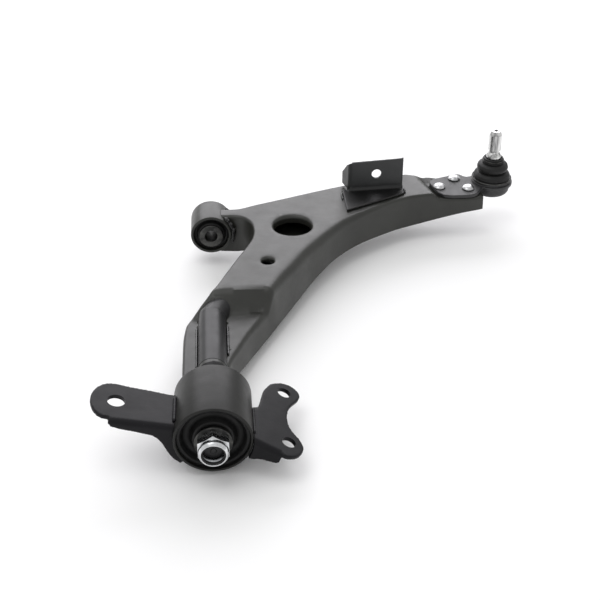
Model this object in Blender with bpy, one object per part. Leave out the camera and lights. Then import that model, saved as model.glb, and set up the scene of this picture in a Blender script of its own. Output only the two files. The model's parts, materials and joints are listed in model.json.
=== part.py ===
"""Lower control arm: pressed-steel arm, two rubber bushes and a riveted ball joint."""
import math

import bmesh
import bpy
from mathutils import Vector

# ---------------------------------------------------------------- dimensions
# Drawn in millimetres in the arm's own frame: the pivot axis is the line
# x = 0, z = 0 along Y, the rear bush's rim is y = 0, +X points outboard.
MM = 0.001
SHIFT_X = -129.25
SHIFT_Y = -222.3
SHIFT_Z = 39.19
GAP = 0.3

SHEET = 3.0
TOP_Z = 20.0
TONGUE_Z = 0.0
PAD_Z = 12.5

PIN_R = 14.0  # over the length that lies in the tongue
SHANK_R = 9.0
NUT_AF = 27.0
NUT_FRONT_Y = -19.5
WASHER_R = 17.0

REAR_SHELL_R = 35.0
REAR_SHELL_WALL = 2.5
REAR_SHELL_LEN = 66.0
REAR_SLEEVE_R = 15.0
REAR_SLEEVE_END = 80.0

FRONT_R = 23.0
FRONT_WALL = 3.0
FRONT_Y0 = 357.0
FRONT_Y1 = 397.0
FRONT_INNER_R = 13.5
FRONT_BORE_R = 7.0
FRONT_INNER_Y0 = 354.0
FRONT_INNER_Y1 = 403.0

BRACKET_T = 4.0
EAR_TILT = 12.0
PLATE_TILT = 22.0
EAR_HOLE_R = 8.0
PLATE_HOLE_R = 6.5

BIG_HOLE = (91.5, 338.6, 21.2)
SMALL_HOLE = (60.2, 264.0, 6.5)

LINK_T = 2.5
LINK_Y = 411.1
LINK_SKEW = 0.0606  # the tab stands a little askew in plan
LINK_HOLE = (195.0, 42.3, 5.7)

BALL_X = 339.2
BALL_Y = 439.2
BALL_Z = 13.0
BALL_R = 11.0
SEAT_PLAY = 0.2          # room that the faceted ball needs to turn in its seat
FLANGE_Z0 = PAD_Z + GAP
FLANGE_Z1 = 16.8
RIVETS = ((273.0, 423.5), (294.5, 443.5), (306.5, 417.5))
RIVET_R = 4.0

SEG = 24
UP = (0, 0, 1)
ALONG = (0, 1, 0)  # the pivot axis
CENTRE = (0, 0, 0)

for old in list(bpy.data.objects):
    bpy.data.objects.remove(old, do_unlink=True)

main = bpy.context.scene.collection
cutters = bpy.data.collections.new("cutters")
main.children.link(cutters)


# ---------------------------------------------------------------- materials
def material(name, color, metallic, rough):
    mat = bpy.data.materials.new(name)
    mat.use_nodes = True
    node = mat.node_tree.nodes["Principled BSDF"]
    node.inputs["Base Color"].default_value = (color[0], color[1], color[2], 1.0)
    node.inputs["Metallic"].default_value = metallic
    node.inputs["Roughness"].default_value = rough
    return mat


BLACK_PAINT = (0.045, 0.046, 0.048)
RUBBER = (0.02, 0.02, 0.021)
ZINC = (0.78, 0.78, 0.76)
STEEL = (0.62, 0.62, 0.61)


# ---------------------------------------------------------------- mesh helpers
def place(p):
    return Vector(((p[0] + SHIFT_X) * MM, (p[1] + SHIFT_Y) * MM, (p[2] + SHIFT_Z) * MM))


def new_object(name, bm, mat, pivot=(0.0, 0.0, 0.0)):
    bmesh.ops.recalc_face_normals(bm, faces=bm.faces[:])
    base = place(pivot)
    bmesh.ops.translate(bm, verts=bm.verts[:], vec=-base)
    mesh = bpy.data.meshes.new(name)
    bm.to_mesh(mesh)
    bm.free()
    obj = bpy.data.objects.new(name, mesh)
    obj.location = base
    main.objects.link(obj)
    mesh.materials.append(mat)
    return obj


def as_cutter(obj):
    main.objects.unlink(obj)
    cutters.objects.link(obj)
    obj.hide_render = True
    obj.display_type = "WIRE"
    return obj


def combine(target, tool, operation):
    mod = target.modifiers.new(operation.lower(), "BOOLEAN")
    mod.object = tool
    mod.operation = operation
    mod.solver = "EXACT"
    return mod


def cut(obj, name, bm):
    tool = as_cutter(new_object("cut_" + name, bm, obj.data.materials[0]))
    combine(obj, tool, "DIFFERENCE")


def join(obj, name, bm):
    tool = as_cutter(new_object("add_" + name, bm, obj.data.materials[0]))
    combine(obj, tool, "UNION")


def frame_of(axis):
    n = Vector(axis).normalized()
    ref = Vector((0.0, 0.0, 1.0)) if abs(n.z) < 0.9 else Vector((1.0, 0.0, 0.0))
    u = ref.cross(n).normalized()
    return n, u, n.cross(u)


def lathe(bm, profile, origin, axis, seg=SEG, turn=0.0):
    """Closed ring (radius, height) profile turned about an axis through origin."""
    n, u, v = frame_of(axis)
    o = Vector(origin)
    rings = []
    for r, h in profile:
        if r <= 0.0:
            rings.append([bm.verts.new(place(o + n * h))])
            continue
        ring = []
        for k in range(seg):
            a = 2.0 * math.pi * k / seg + turn
            ring.append(bm.verts.new(place(o + n * h + (u * math.cos(a) + v * math.sin(a)) * r)))
        rings.append(ring)
    closed = len(rings[0]) > 1 and len(rings[-1]) > 1
    pairs = list(zip(rings, rings[1:]))
    if closed:
        pairs.append((rings[-1], rings[0]))
    for a, b in pairs:
        for k in range(seg):
            j = (k + 1) % seg
            if len(a) == 1:
                bm.faces.new((a[0], b[k], b[j]))
            elif len(b) == 1:
                bm.faces.new((a[k], b[0], a[j]))
            else:
                bm.faces.new((a[k], b[k], b[j], a[j]))


def rod(bm, r, start, axis, length, seg=SEG):
    """Plain solid cylinder that starts at a point and runs along an axis."""
    lathe(bm, [(0, 0), (r, 0), (r, length), (0, length)], start, axis, seg=seg)


def sweep(bm, path, radii, seg=16):
    """Round bar along a path, with flat ends."""
    pts = [Vector(p) for p in path]
    rings = []
    for i, p in enumerate(pts):
        a = pts[max(i - 1, 0)]
        b = pts[min(i + 1, len(pts) - 1)]
        n, u, v = frame_of(b - a)
        ring = []
        for k in range(seg):
            t = 2.0 * math.pi * k / seg
            off = (u * math.cos(t) + v * math.sin(t)) * radii[i]
            ring.append(bm.verts.new(place(p + off)))
        rings.append(ring)
    for a, b in zip(rings, rings[1:]):
        for k in range(seg):
            j = (k + 1) % seg
            bm.faces.new((a[k], b[k], b[j], a[j]))
    bm.faces.new(rings[0][::-1])
    bm.faces.new(rings[-1])


def prism(bm, outline, low, high, to_space):
    """Flat outline (a, b) given thickness low..high through a mapping."""
    bottom = [bm.verts.new(place(to_space(a, b, low))) for a, b in outline]
    top = [bm.verts.new(place(to_space(a, b, high))) for a, b in outline]
    bm.faces.new(bottom[::-1])
    bm.faces.new(top)
    count = len(outline)
    for k in range(count):
        j = (k + 1) % count
        bm.faces.new((bottom[k], bottom[j], top[j], top[k]))


def arc(cx, cy, r, start, end, steps):
    out = []
    for k in range(steps + 1):
        a = math.radians(start + (end - start) * k / steps)
        out.append((cx + r * math.cos(a), cy + r * math.sin(a)))
    return out


def plan(a, b, c):
    """Outline drawn in plan, given thickness along Z."""
    return (a, b, c)


def elevation(a, b, c):
    """Outline drawn in the XZ plane, given thickness along Y."""
    return (a, c, b)


# ---------------------------------------------------------------- pressings
def offsets(points):
    """Outward direction at every corner of a loop that runs anticlockwise."""
    out = []
    count = len(points)
    for k in range(count):
        p = Vector(points[k - 1])
        q = Vector(points[k])
        r = Vector(points[(k + 1) % count])
        a = (q - p).normalized()
        b = (r - q).normalized()
        na = Vector((a.y, -a.x))
        nb = Vector((b.y, -b.x))
        m = (na + nb).normalized()
        out.append(m / max(m.dot(na), 0.6))
    return out


def skin(bm, stations, normals, inset, steps):
    """Rings of one face of a drawn sheet, from the top's edge to the flange's foot."""
    rings = []
    for k in range(steps + 2):
        ring = []
        for s, n in zip(stations, normals):
            x, y, zt, zb, r, d = s
            bend = r - inset
            if k <= steps:
                t = math.radians(90.0 * k / steps)
                out, z = bend * math.sin(t), zt - inset - bend * (1.0 - math.cos(t))
            else:
                out, z = bend + d, zb
            ring.append(bm.verts.new(place((x + n.x * out, y + n.y * out, z))))
        rings.append(ring)
    return rings


def wall(bm, a, b):
    count = len(a)
    for k in range(count):
        j = (k + 1) % count
        bm.faces.new((a[k], b[k], b[j], a[j]))


def loop_edges(bm, verts):
    out = []
    for k in range(len(verts)):
        pair = (verts[k], verts[(k + 1) % len(verts)])
        edge = bm.edges.get(pair)
        out.append(edge if edge else bm.edges.new(pair))
    return out


def drawn_hole(bm, hole, z, lip, depth, inset, seg):
    """Rim of a hole drawn downwards: rings of one face of the sheet."""
    cx, cy, r = hole
    rings = []
    bend = lip - inset
    for k in range(4):
        if k < 3:
            t = math.radians(45.0 * k)
            rad = r + inset + bend * (1.0 - math.sin(t))
            h = z - inset - bend * (1.0 - math.cos(t))
        else:
            rad, h = r + inset, z - depth
        pts = arc(cx, cy, rad, 0, 360, seg)[:-1]
        rings.append([bm.verts.new(place((x, y, h))) for x, y in pts])
    for a, b in zip(rings, rings[1:]):
        wall(bm, a, b)
    return rings


def pressing(stations, sheet, patches, field, holes, steps=3):
    """Closed solid of a drawn sheet.

    Each station is (x, y, top z, foot z, bend radius, draft). The field is the flat
    area that has the holes, and patches are the others. A hole is given as
    (hole, lip radius, depth, segments)."""
    bm = bmesh.new()
    normals = offsets([(s[0], s[1]) for s in stations])
    feet = []
    lips = []
    for inset in (0.0, sheet):
        rings = skin(bm, stations, normals, inset, steps)
        for a, b in zip(rings, rings[1:]):
            wall(bm, a, b)
        top = rings[0]
        for patch in patches:
            bm.faces.new([top[i] for i in patch])
        edges = loop_edges(bm, [top[i] for i in field])
        level = stations[field[0]][2]
        rims = []
        for hole, lip, depth, seg in holes:
            circle = drawn_hole(bm, hole, level, lip, depth, inset, seg)
            edges += loop_edges(bm, circle[0])
            rims.append(circle[-1])
        bmesh.ops.triangle_fill(bm, use_beauty=True, use_dissolve=False, edges=edges)
        feet.append(rings[-1])
        lips.append(rims)
    wall(bm, feet[0], feet[1])
    for a, b in zip(lips[0], lips[1]):
        wall(bm, a, b)
    bmesh.ops.triangulate(bm, faces=[f for f in bm.faces if len(f.verts) > 3])
    return bm


# x, y, top, bottom, bend radius, draft: anticlockwise seen from above
ARM = (
    (-25.2, 84, 0, -12, 3.4, 0), (4, 84, 0, -12, 3.4, 0), (9, 98, 0, -16, 5, 2),
    (14, 118, 0, -20, 5, 3), (22.8, 141, 0, -24, 6, 3), (32, 162, 0, -27, 6, 3),
    (42.1, 182.5, 0, -27, 7, 3), (48.7, 196.9, 0, -27, 8, 3), (55.9, 212.4, 20, -25.5, 9, 3.5),
    (67.5, 236, 20, -25, 10, 3.5), (81.7, 261.5, 20, -23, 11, 3),
    (96.8, 287.7, 20, -21.5, 11, 2.5), (113, 310, 20, -18.5, 11, 2),
    (128.5, 328.9, 20, -17.5, 9.5, 2), (148.9, 350.1, 20, -18, 8, 2),
    (168.8, 364.6, 20, -17.5, 6.5, 2), (195.2, 380.5, 20, -18, 4.6, 2),
    (216, 392, 20, -18.5, 3.5, 2), (235, 399.5, 20, -18, 3.4, 2),
    (260, 403.4, 20, -14.3, 3.4, 1.5), (270, 403.7, 12.5, -12, 3.4, 1.5),
    (280, 403.5, 12.5, -9.7, 3.4, 1), (300, 403, 12.5, -5.2, 3.4, 0.5),
    (320, 406, 12.5, -3.5, 3.4, 0.5), (321, 414, 12.5, 8, 3.4, 0), (314.5, 426, 12.5, 8, 3.4, 0),
    (312.5, 439, 12.5, 8, 3.4, 0), (314, 447, 12.5, 8, 3.4, 0), (305, 452, 12.5, 6, 3.4, 0.5),
    (297, 456, 12.5, 3, 3.4, 0.5), (284, 453.5, 12.5, 0, 3.4, 0.5),
    (258, 449.5, 12.5, -6, 3.4, 0.5), (246, 449.3, 20, -10, 3.4, 1), (235, 452, 20, -12, 4, 1),
    (200, 441, 20, -12, 4, 1), (160, 428.5, 20, -12, 4, 1), (128, 417, 20, -12, 4, 1),
    (105, 408, 20, -12, 4, 1), (80, 398, 20, -12, 4, 1), (53.8, 388, 20, -12, 4, 1),
    (32, 379, 20, -20, 4, 1), (11, 379, 20, -22, 4, 0), (11, 368, 20, -25, 4, 0),
    (30, 367, 20, -25, 4, 1), (41, 361, 20, -22, 4, 1), (49, 348, 20, -19, 4, 1),
    (51, 328, 20, -18, 4, 1), (47, 308, 20, -20, 4, 1.5), (31, 271, 20, -22, 4, 2),
    (17.6, 240, 20, -22, 4, 2), (5, 212, 20, -20, 4, 2), (-10, 196, 10, -18, 4, 2),
    (-20.6, 182, 0, -16, 4, 1.5), (-23.4, 168, 0, -14, 4, 1), (-24.6, 150, 0, -12, 4, 0.5),
)
STEP_TOP = (50, 8)
STEP_FOOT = (52, 7)
JOGGLE_TOP = (32, 19)
JOGGLE_FOOT = (31, 20)


def between(start, end):
    """Station numbers from one to another, going forwards."""
    out = [start]
    while out[-1] != end:
        out.append((out[-1] + 1) % len(ARM))
    return out


# x, y, radius of the pin's flattened and bent end
PIN_COURSE = ((0, 70, 14), (0, 100, 14), (0, 182, 14), (1.5, 190.5, 13.6), (5, 199, 12.2),
              (9.8, 206.5, 10.4), (14.5, 213, 9.0))
BIG_HOLE_LIP, BIG_HOLE_DEPTH = 4.5, 9.0
SMALL_HOLE_LIP, SMALL_HOLE_DEPTH = 3.3, 5.0
HOUSING_CLEARANCE_R = 22.6


def pin_path():
    return [(x, y, 0.0) for x, y, r in PIN_COURSE]


def pin_radii(extra):
    return [r + extra for x, y, r in PIN_COURSE]


def arm_sheet():
    """The pressing before its pieces of clearance are cut."""
    tongue = between(STEP_FOOT[0], STEP_FOOT[1])
    step = between(STEP_TOP[0], STEP_FOOT[0]) + between(STEP_FOOT[1], STEP_TOP[1])
    joggle = between(JOGGLE_TOP[1], JOGGLE_FOOT[1]) + between(JOGGLE_FOOT[0], JOGGLE_TOP[0])
    pad = between(JOGGLE_FOOT[1], JOGGLE_FOOT[0])
    top = between(STEP_TOP[1], JOGGLE_TOP[1]) + between(JOGGLE_TOP[0], STEP_TOP[0])
    holes = ((BIG_HOLE, BIG_HOLE_LIP, BIG_HOLE_DEPTH, 28),
             (SMALL_HOLE, SMALL_HOLE_LIP, SMALL_HOLE_DEPTH, 16))
    return pressing(ARM, SHEET, (tongue, step, joggle, pad), top, holes)


def rivet_holes():
    bm = bmesh.new()
    for x, y in RIVETS:
        rod(bm, RIVET_R + GAP, (x, y, 2), UP, 20, seg=16)
    return bm


def build_upper_shell(mat):
    obj = new_object("upper_shell", arm_sheet(), mat)
    bm = bmesh.new()
    sweep(bm, pin_path(), pin_radii(GAP), seg=20)
    cut(obj, "pin", bm)
    bm = bmesh.new()
    rod(bm, FRONT_R + GAP, (0, 350, 0), ALONG, 60, seg=28)
    cut(obj, "front_eye", bm)
    bm = bmesh.new()
    rod(bm, HOUSING_CLEARANCE_R, (BALL_X, BALL_Y, -20), UP, 60, seg=28)
    cut(obj, "housing_clearance", bm)
    cut(obj, "rivet_holes", rivet_holes())
    return obj


# The lower shell: its level, foot, sheet, bend and the room that it leaves
TRAY_Z = -4.0
TRAY_FOOT = -10.5
TRAY_SHEET = 2.5
TRAY_BEND = 3.0
TRAY_FIT = 0.5
TRAY_STATIONS = [*range(9, 20), *range(32, 41), *range(45, 50)]
TRAY_HOLE = (196.0, 407.0, 10.0)


def tray_stations():
    """The lower shell follows the inner face of the arm's flange, TRAY_FIT away."""
    normals = offsets([(s[0], s[1]) for s in ARM])
    out = []
    for i in TRAY_STATIONS:
        x, y, top, foot, bend, draft = ARM[i]
        lean = draft * (top - bend - TRAY_Z) / (top - bend - foot)
        reach = bend - SHEET + lean - TRAY_FIT - TRAY_BEND
        n = normals[i]
        out.append((x + n.x * reach, y + n.y * reach, TRAY_Z, TRAY_FOOT, TRAY_BEND, 0.0))
    return out


def build_lower_shell(mat):
    stations = tray_stations()
    holes = ((TRAY_HOLE, 3.0, 5.0, 20),)
    bm = pressing(stations, TRAY_SHEET, (), list(range(len(stations))), holes, steps=2)
    return new_object("lower_shell", bm, mat)


# ---------------------------------------------------------------- welds
def weld(name, path, r, mat):
    """Bead that thins out at both ends."""
    bm = bmesh.new()
    ends = [r * 0.45]
    sweep(bm, path, ends + [r] * (len(path) - 2) + ends, seg=8)
    return new_object(name, bm, mat)


PIN_WELD_R = 1.4
SLEEVE_WELD_R = 1.4
LINK_WELD_R = 1.2
BRACKET_WELD_R = 1.3


def build_pin_welds(mat):
    z = TONGUE_Z + PIN_WELD_R + GAP
    side = PIN_R + 2.2
    left = [(-side, y, z) for y in (104, 108, 128, 148, 166, 170)]
    right = [(side, y, z) for y in (124, 128, 142, 158, 172, 176)]
    weld("pin_weld_left", left, PIN_WELD_R, mat)
    weld("pin_weld_right", right, PIN_WELD_R, mat)


def around(r, angles, y):
    """Points on a circle about the pivot axis, at one y."""
    return [(r * math.cos(math.radians(a)), y, r * math.sin(math.radians(a))) for a in angles]


def build_sleeve_welds(mat):
    r = FRONT_R + 2.0
    near = around(r, (-8, 0, 14, 28, 40, 46), 360.9)
    far = around(r, (0, 8, 20, 32, 42, 48), 386.2)
    weld("front_sleeve_weld_near", near, SLEEVE_WELD_R, mat)
    weld("front_sleeve_weld_far", far, SLEEVE_WELD_R, mat)


def build_link_welds(mat):
    z = TOP_Z + LINK_WELD_R + GAP
    left = [(153.7, y, z) for y in (393, 396, 406, 409)]
    right = [(228.7, y, z) for y in (404, 406, 413, 415.5)]
    weld("link_weld_left", left, LINK_WELD_R, mat)
    weld("link_weld_right", right, LINK_WELD_R, mat)


def along_shell(angle, ys):
    """Line on the rear bush's shell, parallel to the pivot axis."""
    return [around(REAR_SHELL_R + 1.7, (angle,), y)[0] for y in ys]


def build_bracket_welds(mat):
    left = along_shell(156, (12, 15, 30, 42, 45))
    right = along_shell(6, (3, 6, 20, 34, 37))
    weld("rear_bracket_weld_left", left, BRACKET_WELD_R, mat)
    weld("rear_bracket_weld_right", right, BRACKET_WELD_R, mat)


# ---------------------------------------------------------------- rear bush
PIN_TIP_Y = -15.5
PIN_NECK_R = 12.0


def build_pin(mat):
    bm = bmesh.new()
    shoulder = REAR_SLEEVE_END + GAP
    path = [(0, PIN_TIP_Y, 0), (0, PIN_TIP_Y + 1.0, 0), (0, shoulder, 0)]
    radii = [SHANK_R - 1.0, SHANK_R, SHANK_R]
    path += [(0, shoulder + 0.01, 0), (0, 92, 0), (0, 97, 0)]
    radii += [PIN_NECK_R, PIN_NECK_R, PIN_R]
    path += pin_path()[2:]
    radii += pin_radii(0.0)[2:]
    sweep(bm, path, radii, seg=20)
    return new_object("rear_pin", bm, mat)


def build_rear_inner_sleeve(mat):
    bm = bmesh.new()
    r0, r1, end = SHANK_R + GAP, REAR_SLEEVE_R, REAR_SLEEVE_END
    prof = [(r0, GAP), (r1 - 1, GAP), (r1, GAP + 1), (r1, end - 1), (r1 - 1, end), (r0, end)]
    lathe(bm, prof, CENTRE, ALONG)
    return new_object("rear_inner_sleeve", bm, mat)


def build_rear_outer_shell(mat):
    bm = bmesh.new()
    r, w, n = REAR_SHELL_R, REAR_SHELL_WALL, REAR_SHELL_LEN
    prof = [(r - w, 1.0), (r - w + 1.0, 0.0), (r - 1.0, 0.0), (r, 1.0), (r, n - 6)]
    prof += [(r - 1.6, n - 2), (r - 5, n), (r - 8, n), (r - 8, n - w)]
    prof += [(r - 5.6, n - w), (r - w - 1.0, n - 4.5), (r - w, n - 8)]
    lathe(bm, prof, CENTRE, ALONG, seg=32)
    return new_object("rear_outer_shell", bm, mat)


def build_rear_rubber(mat):
    bm = bmesh.new()
    a = REAR_SLEEVE_R + GAP
    b = REAR_SHELL_R - REAR_SHELL_WALL - GAP
    prof = [(a, 3), (a + 3, 3.5), (a + 6, 9), (b - 5, 9), (b - 2, 4), (b, 4)]
    prof += [(b, 57), (b - 2, 57), (b - 5, 52), (a + 6, 52), (a + 3, 68), (a, 72)]
    lathe(bm, prof, CENTRE, ALONG, seg=32)
    return new_object("rear_rubber", bm, mat)


def build_washer(mat):
    bm = bmesh.new()
    r0, r1 = SHANK_R + GAP, WASHER_R
    lathe(bm, [(r0, -3), (r1 - 0.5, -3), (r1, -2.5), (r1, 0), (r0, 0)], CENTRE, ALONG)
    return new_object("rear_washer", bm, mat)


def build_nut(mat):
    bm = bmesh.new()
    hexagon = arc(0, 0, NUT_AF / math.sqrt(3.0), 90, 450, 6)[:-1]
    prism(bm, hexagon, -13.5, -3.0 - GAP, elevation)
    obj = new_object("rear_nut", bm, mat)
    bm = bmesh.new()
    lathe(bm, [(0, -13.0), (13.3, -13.0), (13.3, -17.5), (11.8, NUT_FRONT_Y), (0, NUT_FRONT_Y)],
          CENTRE, ALONG)
    join(obj, "collar", bm)
    bm = bmesh.new()
    rod(bm, SHANK_R + GAP, (0, -25, 0), ALONG, 25)
    cut(obj, "thread", bm)
    bm = bmesh.new()
    rod(bm, 11.0, (0, -30, 0), ALONG, 14)
    cut(obj, "insert_seat", bm)
    return obj


def build_insert(mat):
    bm = bmesh.new()
    lathe(bm, [(9.3, -18.6), (10.7, -18.6), (10.7, -16.3), (9.3, -16.3)],
          CENTRE, ALONG)
    return new_object("nut_locking_ring", bm, mat)


# ---------------------------------------------------------------- rear bracket
def ear_space(u, v, w):
    t = math.radians(EAR_TILT)
    x0, z0 = -32.0, 13.0
    return (x0 + u * math.cos(t) + w * math.sin(t), v, z0 - u * math.sin(t) + w * math.cos(t))


def plate_space(u, v, w):
    t = math.radians(PLATE_TILT)
    x0, z0 = 35.0, 1.0
    return (x0 + u * math.cos(t) + w * math.sin(t), v, z0 - u * math.sin(t) + w * math.cos(t))


EAR = [(4, 50), (-7, 50), (-24, 52.5), (-40, 54), (-54, 56.5), (-61, 56), (-66, 53), (-71, 47.5),
       (-74, 39), (-74.5, 33), (-74, 27), (-72, 20), (-68, 13), (-63, 8), (-58, 4.5), (4, 4.5)]
PLATE = [(-5, -1.4), (24, -10.7), (26, -12.5), (33, -12.5), (41, -8.5), (46.5, 0), (47, 8),
         (43, 16.5), (38, 22.5), (34.5, 30), (33.5, 42), (35.5, 53), (39.5, 61.5), (47, 72),
         (49.5, 79), (47.5, 85), (42, 90.5), (33, 92.5), (25, 89), (19, 84.5), (12.5, 73),
         (8, 53), (5, 43), (2.5, 41), (-5, 41)]
EAR_SKIRT = [(-88, 24), (-88, 18), (-79, 14), (-69, 11), (-59, 7.5), (-52, 5), (-48, 1.5),
             (-44.5, -4), (-42, -10), (-40, -15), (-35.5, -22.5), (-30, -27.5), (-20, -20),
             (-20, 12), (-33, 12.5)]
PLATE_SKIRT = [(-6, -1), (-6, -22), (5.3, -19.6), (9.9, -16.6), (15, -14.8), (20.3, -13.7),
               (25.4, -12.2), (27.5, -10.2), (27.3, -4.3), (26.9, -1)]
PLATE_FOLD = (0.2, -3.0, -18.0)  # u, v and heading of the edge that is folded down


def plate_fold_space(a, w, depth):
    """Along the plate's folded edge, up from the plate, and inwards from the edge."""
    u0, v0, heading = PLATE_FOLD
    t = math.radians(heading)
    u = u0 + a * math.cos(t) - depth * math.sin(t)
    return plate_space(u, v0 + a * math.sin(t) + depth * math.cos(t), w)


def bolt_holes():
    bm = bmesh.new()
    spots = ((ear_space, -52.0, 32.2, EAR_HOLE_R), (plate_space, 33.0, 77.0, PLATE_HOLE_R),
             (plate_space, 33.0, 7.0, PLATE_HOLE_R))
    for space, u, v, r in spots:
        start = Vector(space(u, v, -10.0))
        rod(bm, r, start, Vector(space(u, v, 10.0)) - start, 20)
    return bm


def saddle_outline():
    """Band that clips round the lower half of the rear bush's shell."""
    outer = arc(0, 0, REAR_SHELL_R + BRACKET_T + 0.2, 163, 358, 18)
    inner = arc(0, 0, REAR_SHELL_R - 2.0, 358, 163, 18)
    return outer + inner


def build_rear_bracket(mat):
    bm = bmesh.new()
    prism(bm, EAR, -BRACKET_T, 0.0, ear_space)
    obj = new_object("rear_bracket", bm, mat)
    additions = (
        ("plate", PLATE, -BRACKET_T, 0.0, plate_space),
        ("saddle", saddle_outline(), 6.8, 46.0, elevation),
        ("ear_skirt", EAR_SKIRT, 4.6, 8.6, elevation),
        ("plate_skirt", PLATE_SKIRT, 0.1, BRACKET_T + 0.1, plate_fold_space),
    )
    for name, outline, low, high, space in additions:
        bm = bmesh.new()
        prism(bm, outline, low, high, space)
        join(obj, name, bm)
    bm = bmesh.new()
    rod(bm, REAR_SHELL_R + GAP, (0, -30, 0), ALONG, 130, seg=32)
    cut(obj, "shell_seat", bm)
    cut(obj, "bolt_holes", bolt_holes())
    return obj


# ---------------------------------------------------------------- front bush
def build_front_sleeve(mat):
    bm = bmesh.new()
    r, w = FRONT_R, FRONT_WALL
    y0, y1 = FRONT_Y0, FRONT_Y1
    prof = [(r - w, y0 + 0.6), (r - w + 0.6, y0), (r - 0.6, y0), (r, y0 + 0.6)]
    prof += [(r, y1 - 0.6), (r - 0.6, y1), (r - w + 0.6, y1), (r - w, y1 - 0.6)]
    lathe(bm, prof, CENTRE, ALONG)
    return new_object("front_sleeve", bm, mat)


def build_front_rubber(mat):
    bm = bmesh.new()
    a = FRONT_INNER_R + GAP
    b = FRONT_R - FRONT_WALL - GAP
    y0, y1 = FRONT_Y0, FRONT_Y1
    prof = [(a, y0 - 1), (a + 1.5, y0 + 1), (b - 1.5, y0 + 5), (b, y0 + 4)]
    prof += [(b, y1 - 4), (b - 1.5, y1 - 5), (a + 1.5, y1 - 1), (a, y1 + 1)]
    lathe(bm, prof, CENTRE, ALONG)
    return new_object("front_rubber", bm, mat)


def build_front_inner(mat):
    bm = bmesh.new()
    r0, r1 = FRONT_BORE_R, FRONT_INNER_R
    y0, y1 = FRONT_INNER_Y0, FRONT_INNER_Y1
    prof = [(r0, y0 + 0.8), (r0 + 0.8, y0), (r1 - 0.8, y0), (r1, y0 + 0.8)]
    prof += [(r1, y1 - 0.8), (r1 - 0.8, y1), (r0 + 0.8, y1), (r0, y1 - 0.8)]
    lathe(bm, prof, CENTRE, ALONG)
    return new_object("front_inner_sleeve", bm, mat)


# ---------------------------------------------------------------- link bracket
LINK_X = 161.0
LINK_FOOT_Z = TOP_Z + GAP
LINK_WALL = ((161, LINK_FOOT_Z), (227, LINK_FOOT_Z), (227, 59.9), (162, 58.0), (161, 57.8))
LINK_FOOT = ((155.4, 364), (222, 398.5), (227, 401.5), (227, 417), (155.4, 412.8))
LINK_GUSSET_DEEP = ((161, 411.6), (163.5, 413), (159.5, 432), (157, 431.5))
LINK_GUSSET_SHORT = ((161, 411.6), (163.5, 413), (163.3, 414.5), (160.6, 414))
LINK_GUSSET_ROWS = ((22.5, LINK_GUSSET_DEEP), (37.0, LINK_GUSSET_DEEP), (57.8, LINK_GUSSET_SHORT))


def tab_space(a, b, c):
    """Outline of the tab in elevation, with its thickness from the outer face backwards."""
    return (a, LINK_Y + (a - LINK_X) * LINK_SKEW + c, b)


def link_gusset():
    """Side wall that is folded back from the tab and falls away to the rear."""
    bm = bmesh.new()
    rows = [[bm.verts.new(place((x, y, z))) for x, y in outline] for z, outline in LINK_GUSSET_ROWS]
    bm.faces.new(rows[0][::-1])
    bm.faces.new(rows[-1])
    for a, b in zip(rows, rows[1:]):
        wall(bm, a, b)
    bmesh.ops.triangulate(bm, faces=bm.faces[:])
    return bm


def build_link_bracket(mat):
    bm = bmesh.new()
    prism(bm, LINK_WALL, 0.0, LINK_T, tab_space)
    obj = new_object("link_bracket", bm, mat)
    bm = bmesh.new()
    prism(bm, LINK_FOOT, LINK_FOOT_Z, LINK_FOOT_Z + LINK_T, plan)
    join(obj, "foot", bm)
    join(obj, "gusset", link_gusset())
    bm = bmesh.new()
    x, z, r = LINK_HOLE
    rod(bm, r, (x, LINK_Y - 10, z), ALONG, 24)
    cut(obj, "link_hole", bm)
    return obj


# ---------------------------------------------------------------- ball joint
FLANGE_NEAR = ((319.5, 411.5), (315.5, 405), (309, 401.4), (298, 400.3), (284, 400.8),
               (275, 403.8), (270, 409.5), (267.6, 416.5), (265.8, 424))
FLANGE_FAR = ((263.2, 436), (265, 442), (271, 446.5), (279, 449.2), (287.7, 452.3),
              (293.5, 455.8), (299, 457.3), (303.5, 456), (306.5, 452), (310, 449),
              (314.5, 449.5), (320, 453.5))


def flange_outline():
    rim = arc(BALL_X, BALL_Y, 25.0, 140, -128, 18)
    return (rim + list(FLANGE_NEAR) + list(FLANGE_FAR))[::-1]


HOUSING_BORE_R = 18.6
# radius, height: the cup that holds the seat, then the cap, the stud and the boot
CUP_PROFILE = [(12.3, 1.0), (16.5, 1.0), (20.0, 2.7), (22.0, 6.0), (22.0, 19.5), (20.5, 21.0),
               (14.2, 21.0), (15.3, 17.2), (15.3, 2.5), (12.3, 2.5)]
CAP_PROFILE = [(0, -0.6), (9, -0.6), (12, 0.4), (12, 2.0), (0, 2.0)]
STUD_PROFILE = [(5.3, 24.0), (5.4, 28.0), (7.2, 40.0), (9.0, 45.6), (9.0, 49.2), (7.0, 52.4),
                (6.0, 53.6), (6.0, 55.2), (7.5, 56.4), (7.5, 76.4), (5.4, 80.4), (0, 80.4)]
SOCKET_R, SOCKET_Z = 2.6, 77.0
BOOT_OUTSIDE = [(20.9, 21.4), (21.8, 21.8), (22.0, 23.4), (20.8, 26.4), (18.4, 28.6),
                (15.9, 29.8), (16.0, 31.0), (17.9, 32.4), (18.3, 35.6), (17.0, 38.6),
                (13.6, 40.6), (11.6, 41.6), (11.3, 42.8), (11.2, 45.2)]
BOOT_INSIDE = [(9.6, 45.8), (9.3, 42.4), (8.8, 40.6), (9.2, 39.8), (13.4, 37.9), (15.7, 35.8),
               (15.6, 33.4), (13.9, 31.6), (13.8, 29.0), (16.2, 27.4), (19.0, 25.8),
               (20.2, 24.2), (19.8, 23.0), (18.2, 21.4)]
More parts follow.
